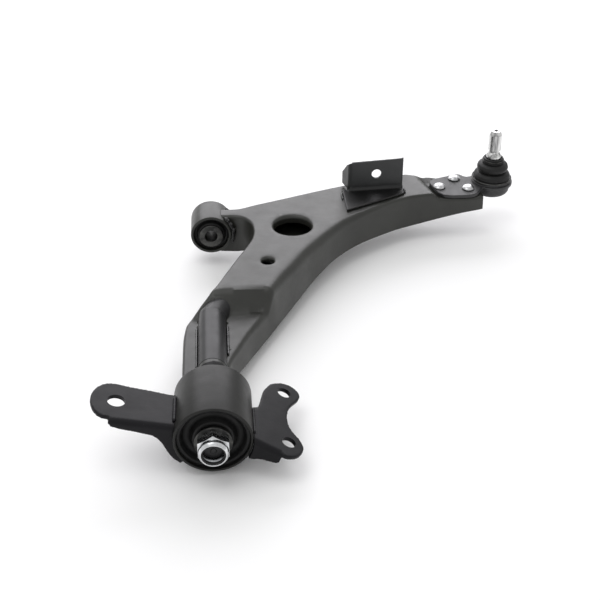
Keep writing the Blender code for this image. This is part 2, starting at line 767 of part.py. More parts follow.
# height, radius and wire of the two clamping rings
LOWER_RING = (20.6, 23.1, 0.75)
UPPER_RING = (43.9, 12.4, 0.6)


def build_housing(mat):
    bm = bmesh.new()
    prism(bm, flange_outline(), FLANGE_Z0, FLANGE_Z1, plan)
    obj = new_object("ball_joint_housing", bm, mat)
    bm = bmesh.new()
    rod(bm, HOUSING_BORE_R, (BALL_X, BALL_Y, -5), UP, 35)
    cut(obj, "bore", bm)
    cut(obj, "flange_holes", rivet_holes())
    bm = bmesh.new()
    lathe(bm, CUP_PROFILE, (BALL_X, BALL_Y, 0), UP)
    join(obj, "cup", bm)
    return obj


def sphere_profile(r, z, low, high, steps):
    out = []
    for k in range(steps + 1):
        a = math.radians(low + (high - low) * k / steps)
        out.append((r * math.cos(a), z + r * math.sin(a)))
    return out


def build_cap(mat):
    bm = bmesh.new()
    lathe(bm, CAP_PROFILE, (BALL_X, BALL_Y, 0), UP)
    return new_object("housing_cap", bm, mat)


def build_seat(mat):
    bm = bmesh.new()
    inner = sphere_profile(BALL_R + SEAT_PLAY, BALL_Z, -60, 31, 8)
    prof = inner + [(13.0, 20.8), (15.0, 17.1), (15.0, 2.9), (inner[0][0], 2.9)]
    lathe(bm, prof, (BALL_X, BALL_Y, 0), UP)
    return new_object("ball_seat", bm, mat)


def build_stud(mat):
    bm = bmesh.new()
    prof = sphere_profile(BALL_R, BALL_Z, -75, 59, 11)
    prof.insert(0, (0.0, prof[0][1]))
    lathe(bm, prof + STUD_PROFILE, (BALL_X, BALL_Y, 0), UP)
    obj = new_object("ball_stud", bm, mat, (BALL_X, BALL_Y, BALL_Z))
    bm = bmesh.new()
    rod(bm, SOCKET_R, (BALL_X, BALL_Y, SOCKET_Z), UP, 8, seg=6)
    cut(obj, "socket", bm)
    return obj


def build_boot(mat):
    bm = bmesh.new()
    lathe(bm, BOOT_OUTSIDE + BOOT_INSIDE, (BALL_X, BALL_Y, 0), UP)
    return new_object("dust_boot", bm, mat, (BALL_X, BALL_Y, BALL_Z))


def ring_tube(ring):
    z, r, wire = ring
    bm = bmesh.new()
    lathe(bm, arc(r, z, wire, 0, 360, 4)[:-1], (BALL_X, BALL_Y, 0), UP)
    return bm


def build_lower_ring(mat):
    return new_object("boot_lower_ring", ring_tube(LOWER_RING), mat)


def build_upper_ring(mat):
    pivot = (BALL_X, BALL_Y, BALL_Z)
    return new_object("boot_upper_ring", ring_tube(UPPER_RING), mat, pivot)


RIVET_NAMES = ("rivet_inner", "rivet_far", "rivet_near")
RIVET_FOOT = [(0, 6.6), (6.2, 6.6), (6.6, 7.2), (6.6, 9.2), (RIVET_R, 9.2)]
# radius, height above the flange: the domed head
RIVET_HEAD = [(RIVET_R, 0), (7.4, 0), (7.3, 1.7), (5.9, 3.7), (3.2, 4.9), (0, 5.2)]


def build_rivets(mat):
    low = FLANGE_Z1 + GAP
    head = [(r, low + h) for r, h in RIVET_HEAD]
    for name, (x, y) in zip(RIVET_NAMES, RIVETS):
        bm = bmesh.new()
        lathe(bm, RIVET_FOOT + head, (x, y, 0), UP, seg=20)
        new_object(name, bm, mat)


# ---------------------------------------------------------------- build
def build():
    paint = (BLACK_PAINT, 0.0, 0.28)
    rubber = (RUBBER, 0.0, 0.8)
    zinc = (ZINC, 0.9, 0.3)
    steel = (STEEL, 0.9, 0.35)
    plan_list = (
        (build_upper_shell, "arm_paint_upper", paint),
        (build_lower_shell, "arm_paint_lower", paint),
        (build_pin, "pin_paint", paint),
        (build_pin_welds, "pin_weld_paint", paint),
        (build_front_sleeve, "front_sleeve_paint", paint),
        (build_sleeve_welds, "sleeve_weld_paint", paint),
        (build_front_rubber, "front_rubber_black", rubber),
        (build_front_inner, "front_inner_steel", steel),
        (build_rear_outer_shell, "rear_shell_paint", paint),
        (build_rear_rubber, "rear_rubber_black", rubber),
        (build_rear_inner_sleeve, "rear_inner_steel", steel),
        (build_washer, "washer_steel", steel),
        (build_nut, "nut_zinc", zinc),
        (build_insert, "locking_ring_nylon", ((0.05, 0.05, 0.055), 0.0, 0.5)),
        (build_rear_bracket, "bracket_paint", paint),
        (build_bracket_welds, "bracket_weld_paint", paint),
        (build_link_bracket, "link_bracket_paint", paint),
        (build_link_welds, "link_weld_paint", paint),
        (build_housing, "housing_paint", paint),
        (build_cap, "cap_paint", paint),
        (build_seat, "seat_plastic", ((0.7, 0.7, 0.66), 0.0, 0.4)),
        (build_stud, "stud_steel", steel),
        (build_boot, "boot_rubber", rubber),
        (build_lower_ring, "lower_ring_steel", steel),
        (build_upper_ring, "upper_ring_steel", steel),
        (build_rivets, "rivet_steel", zinc),
    )
    for maker, name, look in plan_list:
        maker(material(name, look[0], look[1], look[2]))


def joint_marker(name, at):
    empty = bpy.data.objects.new(name, None)
    empty.location = place(at)
    empty.empty_display_size = 0.02
    main.objects.link(empty)


build()
joint_marker("axis_pivot_rear", CENTRE)
joint_marker("axis_pivot_front", (0, 378.5, 0))
joint_marker("axis_ball", (BALL_X, BALL_Y, BALL_Z))
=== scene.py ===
"""Looks of a front lower control arm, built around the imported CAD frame."""
import json
import math
import random

import bmesh
import bpy
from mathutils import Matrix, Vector
from mathutils.geometry import delaunay_2d_cdt


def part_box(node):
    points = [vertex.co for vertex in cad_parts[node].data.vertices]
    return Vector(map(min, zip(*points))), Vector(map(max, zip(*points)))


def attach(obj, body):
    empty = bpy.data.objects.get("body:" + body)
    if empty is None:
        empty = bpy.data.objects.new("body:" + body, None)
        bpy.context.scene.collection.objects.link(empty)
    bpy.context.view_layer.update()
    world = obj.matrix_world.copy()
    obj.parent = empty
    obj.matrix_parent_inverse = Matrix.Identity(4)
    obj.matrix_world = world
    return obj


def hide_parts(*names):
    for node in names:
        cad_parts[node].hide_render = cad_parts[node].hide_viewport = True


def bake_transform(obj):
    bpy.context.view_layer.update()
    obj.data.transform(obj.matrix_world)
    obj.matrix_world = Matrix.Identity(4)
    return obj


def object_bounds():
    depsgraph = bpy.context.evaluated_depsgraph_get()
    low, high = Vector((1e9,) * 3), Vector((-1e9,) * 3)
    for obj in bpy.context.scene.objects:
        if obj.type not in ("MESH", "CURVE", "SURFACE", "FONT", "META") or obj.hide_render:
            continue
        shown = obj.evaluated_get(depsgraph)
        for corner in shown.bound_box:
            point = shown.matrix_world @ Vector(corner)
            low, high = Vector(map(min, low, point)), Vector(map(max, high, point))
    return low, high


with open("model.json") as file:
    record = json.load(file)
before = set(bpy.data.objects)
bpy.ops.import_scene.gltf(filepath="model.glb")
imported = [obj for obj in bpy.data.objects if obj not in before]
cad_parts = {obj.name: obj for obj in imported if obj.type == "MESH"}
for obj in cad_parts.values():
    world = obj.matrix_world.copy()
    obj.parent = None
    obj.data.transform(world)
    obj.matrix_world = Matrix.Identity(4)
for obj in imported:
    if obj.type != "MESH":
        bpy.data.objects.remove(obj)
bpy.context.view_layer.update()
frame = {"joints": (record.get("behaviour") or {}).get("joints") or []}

# ---- the frame
SCENE = bpy.context.scene
MM = 0.001
JOINTS = {j["name"]: j for j in frame["joints"]}
PIVOT = Vector(JOINTS["rear_bush_twist"]["pos_m"])
ORIGIN = Vector((PIVOT.x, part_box("rear_outer_shell")[0].y, PIVOT.z))
BALL = (Vector(JOINTS["ball_spin"]["pos_m"]) - ORIGIN) / MM


def at(p):
    """A point in the arm's own millimetres, as a place in the row frame."""
    return ORIGIN + Vector(p) * MM


def span(node):
    """Lowest and highest corner of a CAD node, in the arm's own millimetres."""
    low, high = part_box(node)
    return (low - ORIGIN) / MM, (high - ORIGIN) / MM


# ---- materials
def nodes_of(name):
    mat = bpy.data.materials.new(name)
    mat.use_nodes = True
    tree = mat.node_tree
    return mat, tree, tree.nodes["Principled BSDF"]


def add(tree, kind, **values):
    """A new node; each value goes to the input of that name, or to the setting."""
    node = tree.nodes.new(kind)
    for key, value in values.items():
        if key in node.inputs:
            node.inputs[key].default_value = value
        else:
            setattr(node, key, value)
    return node


def noise(tree, scale, detail=3.0, rough=0.5, stretch=None):
    """Noise over the object's own coordinates; scale is in waves per metre."""
    out = tree.nodes.new("ShaderNodeTexCoord").outputs["Object"]
    if stretch:
        turn = add(tree, "ShaderNodeMapping", Scale=stretch)
        tree.links.new(out, turn.inputs["Vector"])
        out = turn.outputs["Vector"]
    tex = add(tree, "ShaderNodeTexNoise", Scale=scale, Detail=detail, Roughness=rough)
    tree.links.new(out, tex.inputs["Vector"])
    return tex.outputs["Fac"]


def ramp(tree, source, low, high, start=0.3, end=0.7):
    node = tree.nodes.new("ShaderNodeValToRGB")
    stops = node.color_ramp.elements
    stops[0].position, stops[1].position = start, end
    stops[0].color, stops[1].color = (*low, 1.0), (*high, 1.0)
    tree.links.new(source, node.inputs["Fac"])
    return node.outputs["Color"]


def grey(value):
    return (value,) * 3


def bump(tree, shader, source, height, strength, under=None):
    """Bumps of a height in metres, over the bumps under them."""
    node = add(tree, "ShaderNodeBump", Strength=strength, Distance=height)
    tree.links.new(source, node.inputs["Height"])
    if under is not None:
        tree.links.new(under, node.inputs["Normal"])
    tree.links.new(node.outputs["Normal"], shader.inputs["Normal"])
    return node.outputs["Normal"]


def painted_shade(tree, colour, axis, start, end, least):
    """Painted shade: darkens a colour toward one side of the row frame, down to a share of itself."""
    place = tree.nodes.new("ShaderNodeTexCoord").outputs["Object"]
    split = tree.nodes.new("ShaderNodeSeparateXYZ")
    tree.links.new(place, split.inputs["Vector"])
    reach = add(tree, "ShaderNodeMapRange", **{"From Min": start, "From Max": end, "To Min": least})
    tree.links.new(split.outputs[axis], reach.inputs["Value"])
    scale = add(tree, "ShaderNodeVectorMath", operation="SCALE")
    tree.links.new(colour, scale.inputs[0])
    tree.links.new(reach.outputs["Result"], scale.inputs["Scale"])
    return scale.outputs["Vector"]


DUST_COLOUR = (0.55, 0.55, 0.55, 1.0)


def paint(name, dark, light, rough_low, rough_high, ior, dust=0.06, painted_shade_span=None):
    """Black dip paint on pressed steel: orange peel, faint patches and a little dust, with painted shade
    over one side where asked.
    """
    mat, tree, shader = nodes_of(name)
    shader.inputs["IOR"].default_value = ior
    patches = noise(tree, 22.0, 4.0, 0.6)
    colour = ramp(tree, patches, dark, light)
    if painted_shade_span:
        colour = painted_shade(tree, colour, *painted_shade_span)
    specks = noise(tree, 900.0, 2.0, 0.7)
    fleck = ramp(tree, specks, grey(0.0), grey(1.0), 0.69, 0.76)
    mix = add(tree, "ShaderNodeMix", data_type="RGBA")
    scale = add(tree, "ShaderNodeMath", operation="MULTIPLY")
    scale.inputs[1].default_value = dust
    tree.links.new(fleck, scale.inputs[0])
    tree.links.new(scale.outputs[0], mix.inputs["Factor"])
    tree.links.new(colour, mix.inputs["A"])
    mix.inputs["B"].default_value = DUST_COLOUR
    tree.links.new(mix.outputs["Result"], shader.inputs["Base Color"])
    cloudy = noise(tree, 60.0, 5.0, 0.65)
    tree.links.new(ramp(tree, cloudy, grey(rough_low), grey(rough_high)), shader.inputs["Roughness"])
    peel = bump(tree, shader, noise(tree, 420.0, 2.0), 0.00012, 0.35)
    bump(tree, shader, noise(tree, 34.0, 2.0), 0.0009, 0.35, peel)
    return mat


def rubber(name, shade):
    """Moulded rubber or plastic: a dull, finely grained skin with dusty patches."""
    mat, tree, shader = nodes_of(name)
    shader.inputs["IOR"].default_value = 1.36
    dusty = noise(tree, 160.0, 5.0, 0.7)
    tree.links.new(ramp(tree, dusty, grey(shade * 0.8), grey(shade * 1.9)), shader.inputs["Base Color"])
    worn = noise(tree, 90.0)
    tree.links.new(ramp(tree, worn, grey(0.42), grey(0.62)), shader.inputs["Roughness"])
    grain = bump(tree, shader, noise(tree, 1500.0, 2.0), 0.00006, 0.4)
    bump(tree, shader, noise(tree, 150.0, 3.0), 0.0003, 0.3, grain)
    return mat


def metal(name, low, high, rough_low, rough_high, stretch=None):
    """Bare or plated steel; stretch draws the grain out along an axis."""
    mat, tree, shader = nodes_of(name)
    shader.inputs["Metallic"].default_value = 1.0
    tone = noise(tree, 260.0 if stretch else 120.0, 4.0, 0.6, stretch)
    tree.links.new(ramp(tree, tone, low, high, 0.38, 0.6), shader.inputs["Base Color"])
    marks = noise(tree, 700.0, 3.0, 0.6, stretch)
    tree.links.new(ramp(tree, marks, grey(rough_low), grey(rough_high)), shader.inputs["Roughness"])
    bump(tree, shader, marks, 0.00006, 0.35)
    return mat


# painted shade: the tongue's left strip and the link bracket's foot are darkened in their paint colour,
# the foot nearly to black
STRIP_PAINTED_SHADE = ("X", at((-24, 0, 0)).x, at((-14, 0, 0)).x, 0.45)
FOOT_PAINTED_SHADE = ("Z", at((0, 0, 23.5)).z, at((0, 0, 30)).z, 0.05)
LOOKS = {
    "arm": paint("arm_black", (0.0115, 0.012, 0.0098), (0.0205, 0.021, 0.0173), 0.33, 0.43, 1.5,
                 painted_shade_span=STRIP_PAINTED_SHADE),
    "pin": paint("pin_black", (0.0105, 0.0105, 0.0115), (0.018, 0.018, 0.019), 0.32, 0.42, 1.4),
    "bracket": paint("bracket_black", (0.003, 0.0028, 0.004), (0.0065, 0.006, 0.0078), 0.36, 0.46,
                     1.28),
    "tab": paint("tab_black", (0.02, 0.021, 0.0215), (0.031, 0.032, 0.0325), 0.4, 0.52, 1.45,
                 painted_shade_span=FOOT_PAINTED_SHADE),
    "shell": paint("bush_shell_black", (0.008, 0.008, 0.0073), (0.0135, 0.0135, 0.0122), 0.36, 0.46,
                   1.35),
    "weld": paint("weld_black", grey(0.008), grey(0.016), 0.2, 0.36, 1.5, dust=0.1),
    "forging": paint("forging_black", (0.014, 0.014, 0.015), (0.024, 0.024, 0.025), 0.36, 0.5, 1.5),
    "rubber": rubber("bush_rubber", 0.004),
    "boot": rubber("boot_rubber_black", 0.006),
    "seat": rubber("seat_polymer", 0.4),
    "nylon": rubber("locking_nylon", 0.01),
    "zinc": metal("bright_zinc", (0.5, 0.51, 0.52), (0.72, 0.73, 0.74), 0.14, 0.3),
    "steel": metal("turned_steel", grey(0.24), (0.74, 0.74, 0.73), 0.18, 0.3, (1.0, 1.0, 0.08)),
    "dull": metal("dull_steel", (0.042, 0.042, 0.041), (0.095, 0.095, 0.091), 0.35, 0.52),
    "rivet": metal("rivet_zinc", (0.42, 0.425, 0.43), (0.62, 0.62, 0.63), 0.2, 0.4),
}


# ---- mesh tools
ALONG, UP = (0, 1, 0), (0, 0, 1)
AXIS_AT = (0, 0, 0)  # the pivot axis, at the rear bush's near rim
FLOOR = (BALL.x, BALL.y, 0.0)  # the ball joint's axis, at height 0
CREASE = 38.0  # edges sharper than this stay sharp
DRILLED = 50.0  # the same for drilled pieces and rivets
LUMPY = 60.0  # the same for welds and other lumps


class Shape:
    """Points in the arm's own millimetres, and the faces between them."""

    def __init__(self):
        self.points, self.faces = [], []

    def ring(self, points):
        start = len(self.points)
        self.points += [Vector(p) for p in points]
        return list(range(start, len(self.points)))

    def band(self, a, b):
        """Joins two closed rows, or a row and a point."""
        for k in range(len(a)):
            j = (k + 1) % len(a)
            self.faces.append((a[k], a[j], b[0]) if len(b) == 1 else (a[k], a[j], b[j], b[k]))

    def cap(self, ring):
        self.faces.append(tuple(ring))

    def made(self, name, sharp=CREASE):
        mesh = bpy.data.meshes.new(name)
        mesh.from_pydata([at(p) for p in self.points], [], self.faces)
        tidy_mesh(mesh, sharp)
        obj = bpy.data.objects.new(name, mesh)
        SCENE.collection.objects.link(obj)
        return obj

    def build(self, name, look, body, node, slot, sharp=CREASE):
        """Makes a piece, which may ride on a body and stand for a CAD node."""
        obj = self.made(name, sharp)
        obj.data.materials.append(LOOKS[look])
        if body:
            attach(obj, body)
        if node:
            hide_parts(node)
        return obj


def tidy_mesh(mesh, sharp):
    """Turns all faces outward and smooths every edge but the sharp ones."""
    bm = bmesh.new()
    bm.from_mesh(mesh)
    bmesh.ops.recalc_face_normals(bm, faces=bm.faces[:])
    bm.to_mesh(mesh)
    bm.free()
    mesh.shade_smooth()
    mesh.set_sharp_from_angle(angle=math.radians(sharp))


def frame_of(axis):
    n = Vector(axis).normalized()
    ref = Vector((0.0, 0.0, 1.0)) if abs(n.z) < 0.9 else Vector((1.0, 0.0, 0.0))
    u = ref.cross(n).normalized()
    return n, u, n.cross(u)


def fillet(path, closed=True, steps=5):
    """Rounds the corners of an outline whose points are (a, b) or (a, b, radius)."""
    out = []
    count = len(path)
    for i, p in enumerate(path):
        q = Vector(p[:2])
        if len(p) < 3 or (not closed and i in (0, count - 1)):
            out.append(q)
            continue
        before = Vector(path[i - 1][:2]) - q
        after = Vector(path[(i + 1) % count][:2]) - q
        half = before.angle(after) / 2.0
        reach = min(p[2] / math.tan(half), 0.49 * before.length, 0.49 * after.length)
        radius = reach * math.tan(half)
        centre = q + (before.normalized() + after.normalized()).normalized() * (radius / math.sin(half))
        v0 = q + before.normalized() * reach - centre
        v1 = q + after.normalized() * reach - centre
        whole = v0.angle(v1)
        for k in range(steps + 1):
            turn = k / steps * whole
            spoke = v0 * math.sin(whole - turn) + v1 * math.sin(turn)
            out.append(centre + spoke / math.sin(whole))
    return out


def round_row(shape, middle, u, v, r, seg):
    angles = [2.0 * math.pi * k / seg for k in range(seg)]
    return shape.ring([middle + (u * math.cos(a) + v * math.sin(a)) * r for a in angles])


def lathe(shape, path, origin, axis, seg=96, closed=True):
    """Turns a profile of (radius, height) about an axis; closed joins its last point to its first."""
    n, u, v = frame_of(axis)
    o = Vector(origin)
    rings = []
    for r, h in path:
        if r < 1e-6:
            rings.append(shape.ring([o + n * h]))
            continue
        rings.append(round_row(shape, o + n * h, u, v, r, seg))
    pairs = list(zip(rings, rings[1:]))
    if closed:
        pairs.append((rings[-1], rings[0]))
    for a, b in pairs:
        if len(a) == 1:
            shape.band(b, a)
        else:
            shape.band(a, b)


def turned(name, path, origin, axis, look, body, node, slot, seg=96):
    """A ring-like piece turned from a closed profile."""
    shape = Shape()
    lathe(shape, fillet(path), origin, axis, seg)
    shape.build(name, look, body, node, slot)


def knob(path, origin, axis, seg=96):
    """Solid turned from a profile that starts and ends on the axis."""
    shape = Shape()
    lathe(shape, fillet(path, False), origin, axis, seg, False)
    return shape


def plug(r, start, end, origin=AXIS_AT, axis=ALONG, seg=64):
    """Solid cylinder between two heights on an axis, for cutting."""
    return knob([(0, start), (r, start), (r, end), (0, end)], origin, axis, seg)


def smooth_path(points, per=6):
    """Catmull-Rom curve through points of any number of values."""
    out = []
    for i in range(len(points) - 1):
        p0, p1, p2, p3 = (Vector(points[min(max(i + j, 0), len(points) - 1)]) for j in (-1, 0, 1, 2))
        for k in range(per):
            t = k / per
            a = p1 * 2.0 + (p2 - p0) * t
            b = (p0 * 2.0 - p1 * 5.0 + p2 * 4.0 - p3) * (t * t)
            c = (p1 * 3.0 - p0 - p2 * 3.0 + p3) * (t * t * t)
            out.append((a + b + c) * 0.5)
    out.append(Vector(points[-1]))
    return out


def sweep(shape, path, radii, seg=48, round_ends=False):
    """Round bar along a path, with flat ends or ends rounded off."""
    pts = [Vector(p) for p in path]
    rings = []
    for i, p in enumerate(pts):
        n, u, v = frame_of(pts[min(i + 1, len(pts) - 1)] - pts[max(i - 1, 0)])
        rings.append(round_row(shape, p, u, v, radii[i], seg))
    for a, b in zip(rings, rings[1:]):
        shape.band(a, b)
    if round_ends:
        first = shape.ring([pts[0] + (pts[0] - pts[1]).normalized() * radii[0] * 0.5])
        last = shape.ring([pts[-1] + (pts[-1] - pts[-2]).normalized() * radii[-1] * 0.5])
        shape.band(rings[0], first)
        shape.band(rings[-1], last)
    else:
        shape.cap(rings[0][::-1])
        shape.cap(rings[-1])


# where a point (a, b) of an outline lies at depth c: in plan, in elevation, in cross-section
def lying(a, b, c):
    return (a, b, c)


def upright(a, b, c):
    return (a, c, b)


def sideways(a, b, c):
    return (c, a, b)


def prism(shape, outline, low, high, to_space):
    """Outline drawn out between two depths; to_space maps (a, b, depth) into space."""
    bottom = shape.ring([to_space(p[0], p[1], low) for p in outline])
    top = shape.ring([to_space(p[0], p[1], high) for p in outline])
    shape.band(bottom, top)
    shape.cap(bottom[::-1])
    shape.cap(top)


def arc(cx, cy, r, start, end, steps):
    """Points on a circle between two angles in degrees, both ends included."""
    out = []
    for k in range(steps + 1):
        a = math.radians(start + (end - start) * k / steps)
        out.append((cx + r * math.cos(a), cy + r * math.sin(a)))
    return out


def bake_modifiers(obj):
    bpy.context.view_layer.update()
    graph = bpy.context.evaluated_depsgraph_get()
    mesh = bpy.data.meshes.new_from_object(obj.evaluated_get(graph))
    obj.modifiers.clear()
    old = obj.data
    obj.data = mesh
    bpy.data.meshes.remove(old)


def combined(base, tools, sharp=CREASE):
    """Takes the base through Boolean steps (operation, shape) and removes the helpers."""
    helpers = []
    for operation, shape in tools:
        helper = shape.made("helper")
        step = base.modifiers.new(operation.lower(), "BOOLEAN")
        step.object = helper
        step.operation = operation
        step.solver = "EXACT"
        helpers.append(helper)
    bake_modifiers(base)
    for helper in helpers:
        bpy.data.objects.remove(helper, do_unlink=True)
    tidy_mesh(base.data, sharp)


def cut(base, shapes, sharp=CREASE):
    combined(base, [("DIFFERENCE", shape) for shape in shapes], sharp)


def joined(base, shapes):
    combined(base, [("UNION", shape) for shape in shapes])


def softened(obj, voxel, rounds):
    """Fuses overlapping solids into one skin and rounds every edge and inner corner."""
    fuse = obj.modifiers.new("fuse", "REMESH")
    fuse.mode = "VOXEL"
    fuse.voxel_size = voxel * MM
    ease = obj.modifiers.new("ease", "SMOOTH")
    ease.factor = 0.5
    ease.iterations = rounds
    bake_modifiers(obj)
    tidy_mesh(obj.data, LUMPY)


# ---- the pressed arm
SHEET = 3.0
TOP, PAD, TONGUE = 20.0, 12.5, 0.0  # levels of the upper face
# stations anticlockwise seen from above: x, y, foot of the flange, bend radius, draft
ARM = (
    (-25.2, 84, -12, 3.4, 0), (4, 84, -12, 3.4, 0), (9, 98, -16, 5, 2), (14, 118, -20, 5, 3),
    (22.8, 141, -24, 6, 3), (32, 162, -27, 6, 3), (42.1, 182.5, -27, 7, 3),
    (48.7, 196.9, -27, 8, 3), (55.9, 212.4, -25.5, 9, 3.5), (67.5, 236, -25, 10, 3.5),
    (81.7, 261.5, -23, 11, 3), (96.8, 287.7, -21.5, 11, 2.5), (113, 310, -18.5, 11, 2),
    (128.5, 328.9, -17.5, 9.5, 2), (148.9, 350.1, -18, 8, 2), (168.8, 364.6, -17.5, 6.5, 2),
    (195.2, 380.5, -18, 4.6, 2), (216, 392, -18.5, 3.5, 2), (235, 399.5, -18, 3.4, 2),
    (260, 403.4, -14.3, 3.4, 1.5), (270, 403.7, -12, 3.4, 1.5), (280, 403.5, -9.7, 3.4, 1),
    (300, 403, -5.2, 3.4, 0.5), (320, 406, -3.5, 3.4, 0.5), (321, 414, 8, 3.4, 0),
    (314.5, 426, 8, 3.4, 0), (312.5, 439, 8, 3.4, 0), (314, 447, 8, 3.4, 0),
    (305, 452, 6, 3.4, 0.5), (297, 456, 3, 3.4, 0.5), (284, 453.5, 0, 3.4, 0.5),
    (258, 449.5, -6, 3.4, 0.5), (246, 449.3, -10, 3.4, 1), (235, 452, -12, 4, 1),
    (200, 441, -12, 4, 1), (160, 428.5, -12, 4, 1), (128, 417, -12, 4, 1), (105, 408, -12, 4, 1),
    (80, 398, -12, 4, 1), (53.8, 388, -12, 4, 1), (32, 379, -20, 4, 1), (11, 379, -22, 4, 0),
    (11, 368, -25, 4, 0), (30, 367, -25, 4, 1), (41, 361, -22, 4, 1), (49, 348, -19, 4, 1),
    (51, 328, -18, 4, 1), (47, 308, -20, 4, 1.5), (31, 271, -22, 4, 2), (17.6, 240, -22, 4, 2),
    (5, 212, -20, 4, 2), (-10, 196, -18, 4, 2), (-20.6, 182, -16, 4, 1.5), (-23.4, 168, -14, 4, 1),
    (-24.6, 150, -12, 4, 0.5),
)
ARM_CORNERS = {0, 1, 23, 24, 41, 42}  # the stations that are hard corners
STEP_TOP = ((5, 212), (55.9, 212.4))
STEP_FOOT = ((-20.6, 182), (48.7, 196.9))
JOGGLE_TOP = ((246, 449.3), (260, 403.4))
JOGGLE_FOOT = ((258, 449.5), (270, 403.7))
FAR_EDGE = ((246, 449.3), (284, 453.5))
FAR_LIP, FAR_LIP_WIDTH = 3.9, 6.5  # turned up along the far edge beside the joggle
FAR_LIP_FADE = (262.0, 281.0)  # from full height to none, in x
BIG_HOLE = (91.5, 338.6, 21.2, 4.5, 9.0)  # x, y, radius, lip radius, depth
SMALL_HOLE = (60.2, 264.0, 6.5, 3.3, 5.0)
RIM_PITCH = 2.6  # length of a facet round a hole's rim
BEND_STEPS, WALL_STEPS, RIM_STEPS = 7, 4, 6
PIN_RADIUS = 14.0
# the pin's middle line and radius: x, y, radius
PIN_COURSE = ((0, 97, 14), (0, 182, 14), (1.5, 190.5, 14), (5, 199, 13.7), (9.8, 206.5, 13.1),
              (15.5, 213, 11.2))
RIVETS = {"rivet_inner": (273.0, 423.5), "rivet_far": (294.5, 443.5), "rivet_near": (306.5, 417.5)}
RIVET_BORE = 4.3


def beside(line, x, y):
    """Distance of a point from a line, positive on its left."""
    a, b = Vector(line[0]), Vector(line[1])
    d = (b - a).normalized()
    return d.x * (y - a.y) - d.y * (x - a.x)


def eased(t):
    """A ramp from 0 to 1 with both of its ends rounded."""
    soft = 0.22
    t = min(max(t, 0.0), 1.0)
    if t < soft:
        return t * t / (2 * soft * (1 - soft))
    if t > 1 - soft:
        return 1 - (1 - t) ** 2 / (2 * soft * (1 - soft))
    return (t - soft / 2) / (1 - soft)


def level(x, y):
    """Height of the arm's upper face."""
    up, low = beside(STEP_TOP, x, y), beside(STEP_FOOT, x, y)
    if up < 0 or low < 0:
        share = low / max(low - up, 1e-6) if low > 0 else 0.0
        return TONGUE + (TOP - TONGUE) * eased(share)
    inner, outer = -beside(JOGGLE_TOP, x, y), -beside(JOGGLE_FOOT, x, y)
    if inner < 0:
        share = inner / min(inner - outer, -1e-6) if outer > 0 else 1.0
        full, none = FAR_LIP_FADE
        lip = FAR_LIP * eased(1.0 + beside(FAR_EDGE, x, y) / FAR_LIP_WIDTH)
        lip *= eased((none - x) / (none - full))
        return TOP + (PAD + lip - TOP) * eased(share)
    return TOP


def resampled(stations, corners, pitch):
    """Smooth closed curve through the stations, kept straight into the hard corners."""
    out = []
    count = len(stations)
    for i in range(count):
        p0, p1, p2, p3 = (Vector(stations[(i + k) % count]) for k in (-1, 0, 1, 2))
        before, chord, after = ((b.xy - a.xy).length for a, b in ((p0, p1), (p1, p2), (p2, p3)))
        m1 = p2 - p1 if i in corners else (p2 - p0) * (chord / (chord + before))
        m2 = p2 - p1 if (i + 1) % count in corners else (p3 - p1) * (chord / (after + chord))
        steps = max(2, round(chord / pitch))
        for k in range(steps):
            t = k / steps
            h1, h2 = 2 * t ** 3 - 3 * t ** 2 + 1, t ** 3 - 2 * t ** 2 + t
            h3, h4 = -2 * t ** 3 + 3 * t ** 2, t ** 3 - t ** 2
            out.append(p1 * h1 + m1 * h2 + p2 * h3 + m2 * h4)
    return out


def outward(loop):
    """Outward directions of a dense anticlockwise loop, eased round its corners."""
    count, reach = len(loop), 3
    flat = []
    for k in range(count):
        d = loop[(k + 1) % count].xy - loop[k - 1].xy
        flat.append(Vector((d.y, -d.x)).normalized())
    out = []
    for k in range(count):
        total = Vector((0.0, 0.0))
        for j in range(-reach, reach + 1):
            total += flat[(k + j) % count] * (reach + 1 - abs(j))
        out.append(total.normalized())
    return out


def inside(loop, x, y):
    hit = False
    for k in range(len(loop)):
        a, b = loop[k - 1], loop[k]
        if (a.y > y) != (b.y > y) and x < (b.x - a.x) * (y - a.y) / (b.y - a.y) + a.x:
            hit = not hit
    return hit


def clear_of(loop, x, y, room):
    p = Vector((x, y))
    return all((p - q.xy).length_squared > room * room for q in loop)


def rim_count(r, lip):
    return max(32, round(2 * math.pi * (r + lip) / RIM_PITCH))


def off_holes(holes, x, y, lip_share, room):
    return all(math.hypot(x - hx, y - hy) > r + lip * lip_share + room
               for hx, hy, r, lip, depth in holes)


def sheet_field(loop, holes, pitch):
    """Plan of the flat sheet inside a loop and outside its holes: points and triangles."""
    room = pitch * 0.55
    points = [p.xy for p in loop]
    edges = [(k, (k + 1) % len(loop)) for k in range(len(loop))]
    for x, y, r, lip, depth in holes:
        start = len(points)
        count = rim_count(r, lip)
        points += [Vector(p) for p in arc(x, y, r + lip, 0, 360, count)[:-1]]
        edges += [(start + k, start + (k + 1) % count) for k in range(count)]
    xs, ys = [p.x for p in points], [p.y for p in points]
    for j in range(1, int((max(ys) - min(ys)) / pitch)):
        y = min(ys) + j * pitch
        for i in range(1, int((max(xs) - min(xs)) / pitch)):
            x = min(xs) + (i + 0.5 * (j % 2)) * pitch
            if inside(loop, x, y) and clear_of(loop, x, y, room) and off_holes(holes, x, y, 1.0, room):
                points.append(Vector((x, y)))
    found = delaunay_2d_cdt(points, edges, [], 2, 1e-5)
    places = {}
    for new, olds in enumerate(found[3]):
        for old in olds:
            places[new] = old
    faces = []
    for face in found[2]:
        spot = sum((found[0][v] for v in face), Vector((0.0, 0.0))) / len(face)
        if off_holes(holes, spot.x, spot.y, 0.9, 0.0):
            faces.append(tuple(places.get(v, v) for v in face))
    return points, faces


